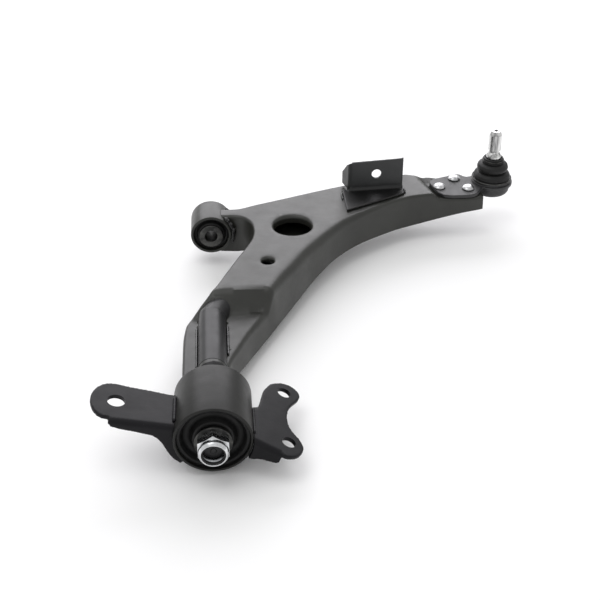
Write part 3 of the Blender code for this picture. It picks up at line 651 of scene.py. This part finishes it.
def pressed_skin(shape, loop, field, holes, inset, height):
    """One face of the drawn sheet; returns the ring at the flange's foot and the hole rims."""
    points, faces = field
    normals = outward(loop)
    flat = shape.ring([(p.x, p.y, height(p.x, p.y) - inset) for p in points])
    for face in faces:
        shape.faces.append(tuple(flat[v] for v in face))
    last = flat[:len(loop)]
    for k in range(1, BEND_STEPS + WALL_STEPS + 1):
        ring = []
        for (x, y, foot, radius, draft), n in zip(loop, normals):
            top = height(x, y)
            bend = radius - inset
            if k <= BEND_STEPS:
                t = math.radians(90.0 * k / BEND_STEPS)
                out, z = bend * math.sin(t), top - inset - bend * (1 - math.cos(t))
            else:
                t = (k - BEND_STEPS) / WALL_STEPS
                out, z = bend + draft * t, (top - radius) * (1 - t) + foot * t
            ring.append((x + n.x * out, y + n.y * out, z))
        ring = shape.ring(ring)
        shape.band(last, ring)
        last = ring
    rims = []
    start = len(loop)
    for x, y, r, lip, depth in holes:
        count = rim_count(r, lip)
        ring = flat[start:start + count]
        start += count
        top = height(x, y)
        bend = lip - inset
        for k in range(1, RIM_STEPS + 2):
            if k <= RIM_STEPS:
                t = math.radians(90.0 * k / RIM_STEPS)
                rad, z = r + inset + bend * (1 - math.sin(t)), top - inset - bend * (1 - math.cos(t))
            else:
                rad, z = r + inset, top - depth
            new = shape.ring([(px, py, z) for px, py in arc(x, y, rad, 0, 360, count)[:-1]])
            shape.band(ring, new)
            ring = new
        rims.append(ring)
    return last, rims


def foot_edge(shape, outer, inner):
    """Joins both faces at the flange's foot with its two edges broken."""
    drop, share = Vector((0, 0, 0.5)), 0.16
    low_outer, low_inner = [], []
    for a, b in zip(outer, inner):
        pa, pb = shape.points[a], shape.points[b]
        d = (pb - pa) * share
        low_outer.append(pa + d - drop)
        low_inner.append(pb - d - drop)
    ring_a, ring_b = shape.ring(low_outer), shape.ring(low_inner)
    shape.band(outer, ring_a)
    shape.band(ring_a, ring_b)
    shape.band(ring_b, inner)


def pressing(stations, corners, holes, sheet, height, pitch, grid):
    """Drawn sheet: its face at a height over the plan, flanges all round and rimmed holes."""
    shape = Shape()
    loop = resampled(stations, corners, pitch)
    field = sheet_field(loop, holes, grid)
    outer, outer_rims = pressed_skin(shape, loop, field, holes, 0.0, height)
    inner, inner_rims = pressed_skin(shape, loop, field, holes, sheet, height)
    foot_edge(shape, outer, inner)
    for a, b in zip(outer_rims, inner_rims):
        shape.band(a, b)
    return shape


def swept_pin(course, seg=48):
    """Bar along a course of (x, y, radius) at height 0."""
    shape = Shape()
    sweep(shape, [(x, y, 0.0) for x, y, r in course], [r for x, y, r in course], seg)
    return shape


def rivet_bores():
    """Cutters for the rivets' holes through the pad and the flange on it."""
    return [plug(RIVET_BORE, 2, 22, (x, y, 0), UP, 32) for x, y in RIVETS.values()]


def make_upper_shell():
    """The arm's pressing, cut round the pin, the front sleeve, the cup and the rivets."""
    shape = pressing(ARM, ARM_CORNERS, (BIG_HOLE, SMALL_HOLE), SHEET, level, 2.4, 4.5)
    arm = shape.build("arm_upper_shell", "arm", "arm", "upper_shell", "arm_paint_upper")
    grip, room, cup_radius = 0.3, 0.3, 22.6
    channel = swept_pin(smooth_path([(x, y, r - grip) for x, y, r in PIN_COURSE]))
    neck = plug(PIN_RADIUS - grip, 60, PIN_COURSE[0][1] + 1, seg=48)
    low, high = span("front_sleeve")
    eye = plug(high.x + room, low.y - 12, high.y + 12, seg=96)
    cup = plug(cup_radius, -20, 40, FLOOR, UP, 96)
    cut(arm, [channel, neck, eye, cup, *rivet_bores()])


# ---- the lower shell
TRAY_STATIONS = [*range(9, 20), *range(32, 41), *range(45, 50)]  # the arm's stations it follows
TRAY_CORNERS = {0, 1, 23, 24}
TRAY_HOLE = (196.0, 407.0, 10.0, 3.0, 5.0)


def mitred(points):
    """Outward direction at each corner of an anticlockwise loop, lengthened at a mitre."""
    out = []
    for k in range(len(points)):
        a = (points[k] - points[k - 1]).normalized()
        b = (points[(k + 1) % len(points)] - points[k]).normalized()
        side = Vector((a.y, -a.x))
        middle = (side + Vector((b.y, -b.x))).normalized()
        out.append(middle / max(middle.dot(side), 0.6))
    return out


def make_lower_shell():
    """Tray that closes the arm from below, a small fit inside the upper shell's flanges."""
    low, high = span("lower_shell")
    bend, sheet, fit = 3.0, 2.5, 0.5
    normals = mitred([Vector(s[:2]) for s in ARM])
    stations = []
    for i in TRAY_STATIONS:
        x, y, foot, radius, draft = ARM[i]
        top = level(x, y)
        lean = draft * (top - radius - high.z) / (top - radius - foot)
        reach = radius - SHEET + lean - fit - bend
        stations.append((x + normals[i].x * reach, y + normals[i].y * reach, low.z, bend, 0.0))
    shape = pressing(stations, TRAY_CORNERS, (TRAY_HOLE,), sheet, lambda x, y: high.z, 3.0, 8.0)
    shape.build("arm_lower_shell", "arm", "arm", "lower_shell", "arm_paint_lower")


# ---- welds
def bead(shape, path, radius, seed, rough):
    """Weld bead: overlapping ripples of uneven size along a path, rounded off at its ends."""
    pitch, closest, seg = 1.9, 0.4, 14
    chance = random.Random(seed)
    curve = smooth_path(path, 8)
    line = [curve[0]]
    for p in curve[1:]:
        if (p - line[-1]).length > closest:
            line.append(p)
    radii, gone = [], 0.0
    size = 1.0
    for i, p in enumerate(line):
        if i:
            step = (p - line[i - 1]).length
            if int((gone + step) / pitch) > int(gone / pitch):
                size = 1.0 + rough * chance.uniform(-0.16, 0.2)
            gone += step
        ripple = 1.0 - 0.14 * rough * (1.0 - abs(math.sin(math.pi * gone / pitch)))
        ends = min(1.0, 0.45 + 0.2 * min(i, len(line) - 1 - i))
        radii.append(radius * ripple * size * ends)
    drift = [p + Vector([chance.uniform(-0.12, 0.12) * rough for k in range(3)]) for p in line]
    sweep(shape, drift, radii, seg, True)


def drops(shape, path, radius, spread, count, seed):
    """Uneven drops of weld metal thrown about a path."""
    chance = random.Random(seed)
    line = smooth_path(path, 6)
    for k in range(count):
        spot = chance.choice(line) + Vector([chance.uniform(-spread, spread) for j in range(3)])
        r = radius * chance.uniform(0.45, 1.0)
        ball = arc(0.0, 0.0, r, -60, 60, 4)
        lean = [chance.uniform(-1, 1) for j in range(3)]
        lathe(shape, [(0.0, -r), *ball, (0.0, r)], spot, lean, 10, False)


def weld(name, path, radius, seed, slot, body="arm", rough=1.0, look="weld"):
    """Plain bead that stands for the CAD node of its name."""
    shape = Shape()
    bead(shape, path, radius, seed, rough)
    shape.build(name + "_bead", look, body, name, slot, LUMPY)


def messy_weld(name, path, radius, seed, slot):
    """Hand-laid bead with drops all about it, fused into one lump."""
    shape = Shape()
    bead(shape, path, radius, seed, 1.0)
    drops(shape, path, radius * 0.75, radius * 0.9, 16, seed)
    lump = shape.build(name + "_bead", "weld", "arm", name, slot, LUMPY)
    softened(lump, 0.45, 2)


def between(a, b, steps):
    """Evenly spaced values from a to b, both included."""
    return [a + (b - a) * k / steps for k in range(steps + 1)]


def make_welds():
    """Beads along the pin, round the front sleeve and beside the link bracket's foot."""
    side, lift = PIN_RADIUS + 1.3, 0.9
    for name, x, ys, radius, seed, rough in (("pin_weld_left", -side, range(104, 172, 6), 1.2, 3, 0.2),
                                             ("pin_weld_right", side, range(124, 178, 6), 1.3, 4, 0.8)):
        weld(name, [(x, y, lift) for y in ys], radius, seed, "pin_weld_paint", rough=rough)
    reach = span("front_sleeve")[1].x + 1.8
    for name, start, steps, radius, seed in (("front_sleeve_weld_near", -22, 12, 2.6, 5),
                                             ("front_sleeve_weld_far", -2, 8, 2.2, 6)):
        low, high = span(name)
        turn = arc(0.0, 0.0, reach, start, start + 6 * steps, steps)
        path = [(x, (low.y + high.y) / 2, z) for x, z in turn]
        messy_weld(name, path, radius, seed, "sleeve_weld_paint")
    for name, seed in (("link_weld_left", 7), ("link_weld_right", 8)):
        low, high = span(name)
        path = [((low.x + high.x) / 2, y, low.z + lift) for y in between(low.y, high.y, 5)]
        weld(name, path, 1.1, seed, "link_weld_paint")


# ---- rear bush
THREAD_BORE = 9.3


def make_rear_bush():
    """Rolled shell, rubber with a groove at both ends, inner sleeve and washer."""
    turned("rear_bush_shell",
           [(32.5, 0, 0.6), (35, 0, 1.1), (35, 66, 6.5), (27, 66, 1.0), (27, 63.5, 0.8),
            (32.5, 63.5, 3.5)],
           AXIS_AT, ALONG, "shell", "rear_mounting", "rear_outer_shell", "rear_shell_paint", 160)
    turned("rear_bush_rubber",
           [(15.3, 2.2, 0.6), (18.2, 3.0, 1.6), (21.0, 10.5, 4), (26.4, 10.5, 4), (29.2, 3.2, 1.8),
            (32.2, 3.2, 0.5), (32.2, 57, 0.5), (29.5, 57, 1.5), (26.4, 52, 3), (21.0, 52, 3),
            (18.3, 68, 1.6), (15.3, 72, 0.6)],
           AXIS_AT, ALONG, "rubber", "rear_mounting", "rear_rubber", "rear_rubber_black", 128)
    turned("rear_bush_sleeve",
           [(THREAD_BORE, 0.3, 0.5), (15, 0.3, 0.8), (15, 80, 0.8), (THREAD_BORE, 80, 0.5)],
           AXIS_AT, ALONG, "dull", "arm", "rear_inner_sleeve", "rear_inner_steel")
    turned("rear_bush_washer",
           [(THREAD_BORE, -3, 0.3), (17, -3, 0.7), (17, 0, 0.5), (THREAD_BORE, 0, 0.3)],
           AXIS_AT, ALONG, "dull", "arm", "rear_washer", "washer_steel", 128)


def make_pin():
    """Bar with a thread at its near end and a collar behind the bush."""
    crest, root, pitch, run_out = 8.9, 8.0, 1.5, -3.5
    shank = [(0, -12.6), (2.2, -12.6), (2.6, -12.1), (3.0, -12.6), (7.6, -12.6)]
    y = -11.4
    while y < run_out:
        shank += [(crest, y), (crest, y + 0.35), (root, y + 1.0), (root, y + 1.15)]
        y += pitch
    collar = [(12.0, 80.31), (12.0, 90.0), (12.2, 94.0), (13.5, 96.0), (13.6, 99.4), (13.0, 100.0),
              (13.0, 101.0), (PIN_RADIUS, 102.0), (PIN_RADIUS, 120), (0, 120)]
    shape = knob([*shank, (9.0, y + 0.4), (9.0, 80.3), *collar], AXIS_AT, ALONG, 72)
    pin = shape.build("rear_pin_bar", "pin", "arm", "rear_pin", "pin_paint")
    course = smooth_path([(0, 110, PIN_RADIUS - 0.02), (0, 140, PIN_RADIUS), *PIN_COURSE[1:]], 8)
    joined(pin, [swept_pin(course, 72)])


def make_nut():
    """Chamfered hexagon and a round collar with a locking ring."""
    across, sharp = 27.0, 32.0
    corners = arc(0.0, 0.0, across / math.sqrt(3.0), 90, 390, 5)
    shape = Shape()
    prism(shape, fillet([(a, b, 0.9) for a, b in corners], True, 4), -13.6, -3.3, upright)
    nut = shape.build("rear_nut_hex", "zinc", "arm", "rear_nut", "nut_zinc", sharp)
    limit = knob([(0, -20), (12.2, -14.2), (13.9, -12.6), (15.7, -11.7), (15.7, -4.4), (14.2, -3.3),
                  (13.9, 0), (0, 0)], AXIS_AT, ALONG)
    collar = knob([(0, -11), (13.25, -11), (13.25, -17.2, 2.4), (11.6, -19.5, 1.6), (10.6, -19.5, 0.8),
                   (10.6, -12.5), (0, -12.5)], AXIS_AT, ALONG)
    thread = plug(THREAD_BORE, -25, 0)
    combined(nut, [("INTERSECT", limit), ("UNION", collar), ("DIFFERENCE", thread)], sharp)
    turned("nut_locking_collar", [(9.1, -18.7, 0.5), (10.6, -18.7, 0.3), (10.6, -16.2), (9.1, -16.2, 0.4)],
           AXIS_AT, ALONG, "nylon", "arm", "nut_locking_ring", "locking_ring_nylon")


# ---- front bush
def make_front_bush():
    """Welded sleeve, rubber dished at both ends and inner sleeve."""
    low, high = span("front_sleeve")
    y0, y1, r = low.y, high.y, high.x
    turned("front_bush_shell", [(r - 3, y0, 0.5), (r, y0, 0.9), (r, y1, 0.9), (r - 3, y1, 0.5)],
           AXIS_AT, ALONG, "arm", "arm", "front_sleeve", "front_sleeve_paint", 128)
    outer, inner = r - 3.3, 13.8
    turned("front_bush_rubber",
           [(inner, y0 - 1, 0.4), (inner + 1.2, y0 + 0.2, 0.8), (inner + 2.6, y0 + 5.5, 1.2),
            (outer - 1.2, y0 + 5, 1), (outer, y0 + 3.6, 0.4), (outer, y1 - 3.6, 0.4),
            (outer - 1.2, y1 - 5, 1), (inner + 2.6, y1 - 5.5, 1.2), (inner + 1.2, y1 - 0.2, 0.8),
            (inner, y1 + 1, 0.4)],
           AXIS_AT, ALONG, "rubber", "arm", "front_rubber", "front_rubber_black")
    a, b = span("front_inner_sleeve")
    bore = 7.0
    turned("front_bush_inner", [(bore, a.y, 0.7), (b.x, a.y, 0.9), (b.x, b.y, 0.9), (bore, b.y, 0.7)],
           AXIS_AT, ALONG, "dull", "front_inner", "front_inner_sleeve", "front_inner_steel")


# ---- rear bracket
PLATE_THICK, BEND = 4.0, 5.0
EAR_AT, EAR_TILT = (-32.0, 13.0), 12.0  # x and z of the sheet's own zero, slope in degrees
FLAP_AT, FLAP_TILT = (35.0, 1.0), 22.0
EAR = [(-7, 50), (-24, 52.5), (-40, 54), (-54, 56.5), (-61, 56), (-66, 53), (-71, 47.5),
       (-74, 39), (-74.5, 33), (-74, 27), (-72, 20), (-68, 13.5), (-62.5, 9.6), (9, 9.6), (9, 50)]
EAR_SKIRT = [(-87.3, 20.3), (-87, 17.6), (-79, 14), (-69, 11), (-59, 7.5), (-52, 5), (-48, 1.5),
             (-44.5, -4), (-42, -10), (-40, -15), (-35.5, -22.5), (-30, -27.5), (-20, -20), (-20, 6.5)]
FLAP = [(-5, 3.9), (25.2, -5.9), (26.2, -12.3), (33, -12.5), (41, -8.5), (46.5, 0), (47, 8),
        (43, 16.5), (38, 22.5), (34.5, 30), (33.5, 42), (35.5, 53), (39.5, 61.5), (47, 72),
        (49.5, 79), (47.5, 85), (42, 90.5), (33, 92.5), (25, 89), (19, 84.5), (12.5, 73),
        (8, 53), (5, 43), (2.5, 41), (-5, 41)]
FLAP_SKIRT = [(-6, -4.5), (-6, -22), (5.3, -19.6), (9.9, -16.6), (15, -14.8), (20.3, -13.7),
              (25.4, -12.2), (27.5, -10.2), (27.3, -4.5)]
FLAP_FOLD = (0.2, -3.0, -18.0)  # a point of the fold and its heading, in the sheet
EAR_HOLE = (-52.0, 32.2, 8.0)  # along, across, radius
FLAP_HOLES = ((33.0, 77.0, 6.5), (33.0, 7.0, 6.5))


def tilted(place, angle):
    """Mapping of a sheet's own plane (along, across, up) into the arm's space."""
    t = math.radians(angle)
    return lambda u, v, w: (place[0] + u * math.cos(t) + w * math.sin(t), v,
                            place[1] - u * math.sin(t) + w * math.cos(t))


EAR_SPACE = tilted(EAR_AT, EAR_TILT)
FLAP_SPACE = tilted(FLAP_AT, FLAP_TILT)


def flap_fold(a, w, depth):
    """A point of the flap's skirt: along the fold, up, and inward from it."""
    u0, v0, heading = FLAP_FOLD
    c, s = math.cos(math.radians(heading)), math.sin(math.radians(heading))
    return FLAP_SPACE(u0 + a * c - depth * s, v0 + a * s + depth * c, w)


def curved(outline, reach=5.0, rounds=3):
    """Outline with its corners cut back in a few rounds, no further than its reach."""
    pts = []
    for a, b in zip(outline, [*outline[1:], outline[0]]):
        a, b = Vector(a), Vector(b)
        gap = (b - a).length
        pts.append(a)
        if gap > 2.2 * reach:
            pts += [a.lerp(b, reach / gap), a.lerp(b, 1.0 - reach / gap)]
    for k in range(rounds):
        after = pts[1:] + pts[:1]
        pts = [p for a, b in zip(pts, after) for p in (a.lerp(b, 0.25), a.lerp(b, 0.75))]
    return pts


def knee(shape, start, end, space):
    """Quarter turn of sheet along a bend; space maps (along, across, up), its corner at (0, 0)."""
    turn = arc(BEND, -BEND, BEND, 180, 90, 10) + arc(BEND, -BEND, BEND - PLATE_THICK, 90, 180, 10)
    prism(shape, turn, start, end, lambda across, up, along: space(along, across, up))


def make_rear_bracket():
    """Ear and flap with their folded skirts, on a saddle round the bush's shell."""
    near, shell_room, weld_reach = 4.6, 35.25, 35.9
    ear = Shape()
    prism(ear, curved(EAR), -PLATE_THICK, 0.0, EAR_SPACE)
    bracket = ear.build("rear_bracket_stamping", "bracket", "rear_mounting", "rear_bracket",
                        "bracket_paint")
    skirt, flap, fold, saddle, ear_knee, flap_knee = (Shape() for k in range(6))
    prism(skirt, EAR_SKIRT, near, near + PLATE_THICK, upright)
    prism(flap, curved(FLAP), -PLATE_THICK, 0.0, FLAP_SPACE)
    prism(fold, FLAP_SKIRT, 0.0, PLATE_THICK, flap_fold)
    prism(saddle, arc(0, 0, 39.2, 163, 358, 72) + arc(0, 0, 33.0, 358, 163, 72), 6.8, 46.0, upright)
    knee(ear_knee, -57.0, 4.0, lambda u, v, w: EAR_SPACE(u, v + near, w))
    knee(flap_knee, -6.0, 26.0, lambda a, v, w: flap_fold(a, w, v))
    joined(bracket, (skirt, flap, fold, saddle, ear_knee, flap_knee))
    softened(bracket, 0.8, 6)
    cuts = [plug(shell_room, -30, 100, seg=160)]
    for space, holes in ((EAR_SPACE, (EAR_HOLE,)), (FLAP_SPACE, FLAP_HOLES)):
        for u, v, r in holes:
            low, high = Vector(space(u, v, -10.0)), Vector(space(u, v, 10.0))
            cuts.append(plug(r, 0, 20, low, high - low))
    cut(bracket, cuts, DRILLED)
    for name, angle, seed in (("rear_bracket_weld_left", 156.5, 9), ("rear_bracket_weld_right", 6, 10)):
        low, high = span(name)
        x, z = weld_reach * math.cos(math.radians(angle)), weld_reach * math.sin(math.radians(angle))
        path = [(x, y, z) for y in between(low.y, high.y, 6)]
        weld(name, path, 1.6, seed, "bracket_weld_paint", "rear_mounting", 0.2, "bracket")


# ---- link bracket
LINK_SHEET = 2.5
LINK_Y, LINK_LEFT = 411.1, 161.0  # the tab's face and its left edge
LINK_SKEW = 0.0606  # the tab stands a little askew in plan
LINK_TOP = (58.1, 59.9)  # height of the tab at its left and right
LINK_HOLE = (195.0, 42.3, 5.7)  # x, height, radius


def sheet_corner(shape, centre, start, end, bottom, top, outer, fall=0.0):
    """Upright sheet turned round a corner; its top falls away backwards."""
    front = centre[1] - outer
    turn = arc(*centre, outer, start, end, 8) + arc(*centre, outer - LINK_SHEET, end, start, 8)
    prism(shape, turn, bottom, top, lambda a, b, c: (a, b, c - fall * (b - front) * (c == top)))


def make_link_bracket():
    """Upright tab with a foot, a gusset turned back at its left and a rolled right edge."""
    floor, y, sheet = span("link_bracket")[0].z, LINK_Y, LINK_SHEET
    shape, foot, bend, left, right, gusset = (Shape() for k in range(6))
    wall = [(166, floor), (224.5, floor), (224.5, LINK_TOP[1]), (166, LINK_TOP[0])]
    prism(shape, wall, y, y + sheet, upright)
    prism(foot, [(155.4, 364.4), (222, 394.8), (227, 397.5), (227, y + 2), (155.4, y + 2)],
          floor, floor + sheet, lying)
    root, sunk = 4.2, 0.1
    heel = [(y + sunk, floor + sheet - sunk), (y - root, floor + sheet - sunk)]
    heel += arc(y - root, floor + sheet + root - sunk, root, -90, 0, 8)[1:]
    prism(bend, heel, 162.0, 226.9, sideways)
    sheet_corner(left, (LINK_LEFT + 6.0, y + 6.0), 180, 272, floor, 58.0, 6.0, 0.85)
    sheet_corner(right, (223.5, y + 3.5), -92, 0, floor, LINK_TOP[1], 3.5)
    rows, root_y = [], y + 5.8
    for z, back in ((22.5, 1.0), (30.0, 1.0), (37.5, 1.0), (45.0, 0.55), (52.8, 0.1)):
        run_x, run_y = -4.2 * back, 16.0 * back
        a, b = LINK_LEFT, LINK_LEFT + sheet
        rows.append(gusset.ring([(a, root_y, z), (b, root_y, z), (b + run_x, root_y + run_y, z),
                                 (a + run_x, root_y + run_y, z)]))
    gusset.cap(rows[0][::-1])
    gusset.cap(rows[-1])
    for a, b in zip(rows, rows[1:]):
        gusset.band(a, b)
    for part in (shape, foot, bend, left, right, gusset):
        for p in part.points:
            p.y += (p.x - LINK_LEFT) * LINK_SKEW
    tab = shape.build("link_bracket_tab", "tab", "arm", "link_bracket", "link_bracket_paint")
    joined(tab, (foot, bend, left, right, gusset))
    softened(tab, 0.45, 4)
    x, z, r = LINK_HOLE
    cut(tab, [plug(r, 0, 24, (x, y - 10, z))], DRILLED)


# ---- ball joint
FLANGE = ((319.5, 411.5), (315.5, 405), (309, 401.4), (298, 400.3), (284, 400.8), (275, 403.8),
          (270, 409.5), (267.6, 416.5), (265.8, 424), (263.2, 436), (265, 442), (271, 446.5),
          (279, 449.2), (287.7, 452.3), (293.5, 455.8), (299, 457.3), (303.5, 456), (306.5, 452),
          (310, 449), (314.5, 449.5), (320, 453.5))
BALL_RADIUS = 11.0
BOOT_LOW, BOOT_CREASE, BOOT_TOP = 22.5, 30.3, 43.0


def flange_outline():
    """The flange's free edge, closed by an arc inside the cup's wall."""
    rim = arc(BALL.x, BALL.y, 25.0, 140, -128, 48)
    return curved([*rim[::-1], *FLANGE[::-1]], 3.0, 2)


def make_housing():
    """Forged flange and cup in one, with the cap below and the seat inside."""
    flange = Shape()
    prism(flange, flange_outline(), 12.8, 16.8, lying)
    housing = flange.build("ball_housing", "forging", "arm", "ball_joint_housing", "housing_paint")
    cup = Shape()
    lathe(cup, fillet([(12.3, 1.0, 0.4), (16.5, 1.0, 2), (20.0, 2.7, 3), (22.0, 6.0, 4), (22.0, 21.0, 1.6),
                       (14.2, 21.0, 0.5), (15.3, 17.2, 1), (15.3, 2.5), (12.3, 2.5)]), FLOOR, UP, 96)
    bore = plug(18.6, -5, 30, FLOOR, UP, 96)
    combined(housing, [("DIFFERENCE", bore), ("UNION", cup)])
    softened(housing, 0.5, 6)
    cut(housing, rivet_bores(), DRILLED)
    cap = knob([(0, -0.6), (9, -0.6, 1), (12, 0.4, 0.5), (12, 2.0), (0, 2.0)], FLOOR, UP)
    cap.build("ball_housing_cap", "forging", "arm", "housing_cap", "cap_paint")
    hollow = arc(0.0, BALL.z, BALL_RADIUS + 0.2, -60, 28, 22)
    turned("ball_seat_liner", [*hollow, (13.0, 20.8), (15.0, 17.1), (15.0, 2.9), (hollow[0][0], 2.9)],
           FLOOR, UP, "seat", "arm", "ball_seat", "seat_plastic")


def make_stud():
    """Ball, neck, collar, pinch groove and shank, with a hexagon socket in its end."""
    sharp = 32.0
    globe = arc(0.0, BALL.z, BALL_RADIUS, -75, 55, 26)
    path = [(0.0, globe[0][1]), *globe, (5.3, 24.0, 2), (5.4, 28.0), (7.2, 40.0, 8), (9.0, 45.6, 1),
            (9.0, 49.2, 0.6), (7.0, 52.4, 1.2), (6.0, 53.6, 0.8), (6.0, 55.2, 0.8), (7.5, 56.4, 0.5),
            (7.5, 75.6, 1.6), (5.4, 80.4, 0.7), (0, 80.4)]
    stud = knob(path, FLOOR, UP).build("ball_stud_pin", "steel", "stud", "ball_stud", "stud_steel", sharp)
    socket = knob([(0, 75.5), (2.8, 77.0), (2.8, 85.0), (0, 85.0)], FLOOR, UP, 6)
    cut(stud, [socket], sharp)


def make_boot():
    """Two bellows in one moulding, built as a lower and an upper half."""
    lower_out = [(20.6, 21.4, 0.4), (21.9, 21.6, 0.6), (22.0, 23.4, 1.4), (20.9, 26.3, 3),
                 (18.4, 28.8, 1), (15.6, 29.7, 0.6), (15.2, BOOT_CREASE)]
    lower_in = [(14.2, BOOT_CREASE), (14.0, 29.0, 0.5), (16.2, 27.6, 1), (19.0, 26.0, 1),
                (20.2, 24.3, 0.6), (19.8, 22.8), (18.2, 21.4)]
    upper_out = [(15.2, BOOT_CREASE), (15.6, 30.9, 0.5), (17.9, 31.8, 0.8), (18.5, 35.0, 2.4),
                 (17.4, 38.2, 1.8), (14.2, 40.0, 1.2), (11.8, 40.5, 0.4), (11.8, 41.1, 0.3),
                 (13.2, 41.5, 0.4), (13.1, 42.7, 0.4), (11.6, 43.0, 0.2), (11.5, 44.7, 0.2),
                 (12.1, 45.0, 0.3), (11.6, 46.4, 0.7), (9.7, 46.6, 0.3)]
    upper_in = [(9.4, 42.4), (8.9, 40.8), (9.3, 39.9), (11.3, 39.2, 0.6), (13.8, 38.3, 1), (16.3, 36.4, 1),
                (16.6, 34.2, 1), (15.6, 32.6, 0.6), (14.2, 31.4, 0.4), (14.2, BOOT_CREASE)]
    halves = []
    for name, outer, inner, node in (("lower", lower_out, lower_in, "dust_boot"),
                                     ("upper", upper_out, upper_in, None)):
        shape = Shape()
        lathe(shape, fillet(outer, False) + fillet(inner, False), FLOOR, UP, 96)
        halves.append(shape.build(f"dust_boot_{name}_bellows", "boot", None, node, "boot_rubber", LUMPY))
    lower, upper = halves
    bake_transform(lower)
    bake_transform(upper)


def make_boot_rings():
    for name, radius, wire, body in (("lower", 23.1, 0.75, "arm"), ("upper", 12.3, 0.65, "boot_top")):
        node = f"boot_{name}_ring"
        low, high = span(node)
        circle = arc(radius, (low.z + high.z) / 2, wire, 0, 330, 11)
        turned(f"boot_wire_{name}", circle, FLOOR, UP, "dull", body, node, f"{name}_ring_steel", 128)


def make_rivets():
    """Rivets with a flat tail and a low domed head with a dimple."""
    profile = [(0, 6.6), (6.2, 6.6, 0.5), (6.6, 9.2, 0.3), (4.0, 9.2), (4.0, 17.1), (7.4, 17.1, 0.4),
               (7.2, 18.4, 0.8), (5.6, 20.2, 3), (3.2, 21.0, 2), (1.5, 21.1, 0.6), (1.2, 20.8, 0.3),
               (0, 20.7)]
    for name, (x, y) in RIVETS.items():
        shape = knob(profile, (x, y, 0), UP, 64)
        shape.build(name + "_head", "rivet", "arm", name, "rivet_steel", DRILLED)


make_upper_shell()
make_lower_shell()
make_welds()
make_rear_bush()
make_pin()
make_nut()
make_front_bush()
make_rear_bracket()
make_link_bracket()
make_housing()
make_stud()
make_boot()
make_boot_rings()
make_rivets()


# ---- floor, light and camera
FLOOR_GAP = 0.0005  # metres between the object and the floor
CAMERA_AT = (21.89, -711.79, 608.30)
CAMERA_TILT, CAMERA_HEADING = 56.81, -4.24
CAMERA_LENS, CAMERA_SENSOR = 64.62, 36.0


def make_stage():
    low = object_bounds()[0]
    bpy.ops.mesh.primitive_plane_add(size=6.0, location=(0.0, 0.0, low.z - FLOOR_GAP))
    floor = bpy.context.object
    floor.name = "studio_floor"
    mat, tree, shader = nodes_of("pale_floor")
    shader.inputs["Base Color"].default_value = (0.94, 0.94, 0.94, 1.0)
    shader.inputs["Roughness"].default_value = 0.9
    shader.inputs["Specular IOR Level"].default_value = 0.2
    floor.data.materials.append(mat)


def area_light(name, place, width, height, power, tint):
    data = bpy.data.lights.new(name, "AREA")
    data.shape = "RECTANGLE"
    data.size, data.size_y = width, height
    data.energy = power
    data.color = tint
    obj = bpy.data.objects.new(name, data)
    obj.location = place
    obj.rotation_euler = (-Vector(place)).to_track_quat("-Z", "Y").to_euler()
    SCENE.collection.objects.link(obj)


def make_light():
    world = bpy.data.worlds.new("studio")
    SCENE.world = world
    world.use_nodes = True
    back = world.node_tree.nodes["Background"]
    back.inputs["Color"].default_value = (1.0, 1.0, 1.0, 1.0)
    back.inputs["Strength"].default_value = 0.78
    area_light("back_softbox", (-0.1, 2.0, 1.3), 2.6, 1.6, 36.0, (0.975, 0.96, 1.0))
    area_light("top_softbox", (-0.6, -0.2, 1.8), 1.2, 1.2, 7.0, (1.0, 1.0, 1.0))


def make_camera():
    data = bpy.data.cameras.new("camera")
    data.lens, data.sensor_width = CAMERA_LENS, CAMERA_SENSOR
    obj = bpy.data.objects.new("camera", data)
    obj.location = at(CAMERA_AT)
    obj.rotation_euler = (math.radians(CAMERA_TILT), 0.0, math.radians(CAMERA_HEADING))
    SCENE.collection.objects.link(obj)
    SCENE.camera = obj


make_stage()
make_light()
make_camera()
SCENE.view_settings.view_transform = "Standard"
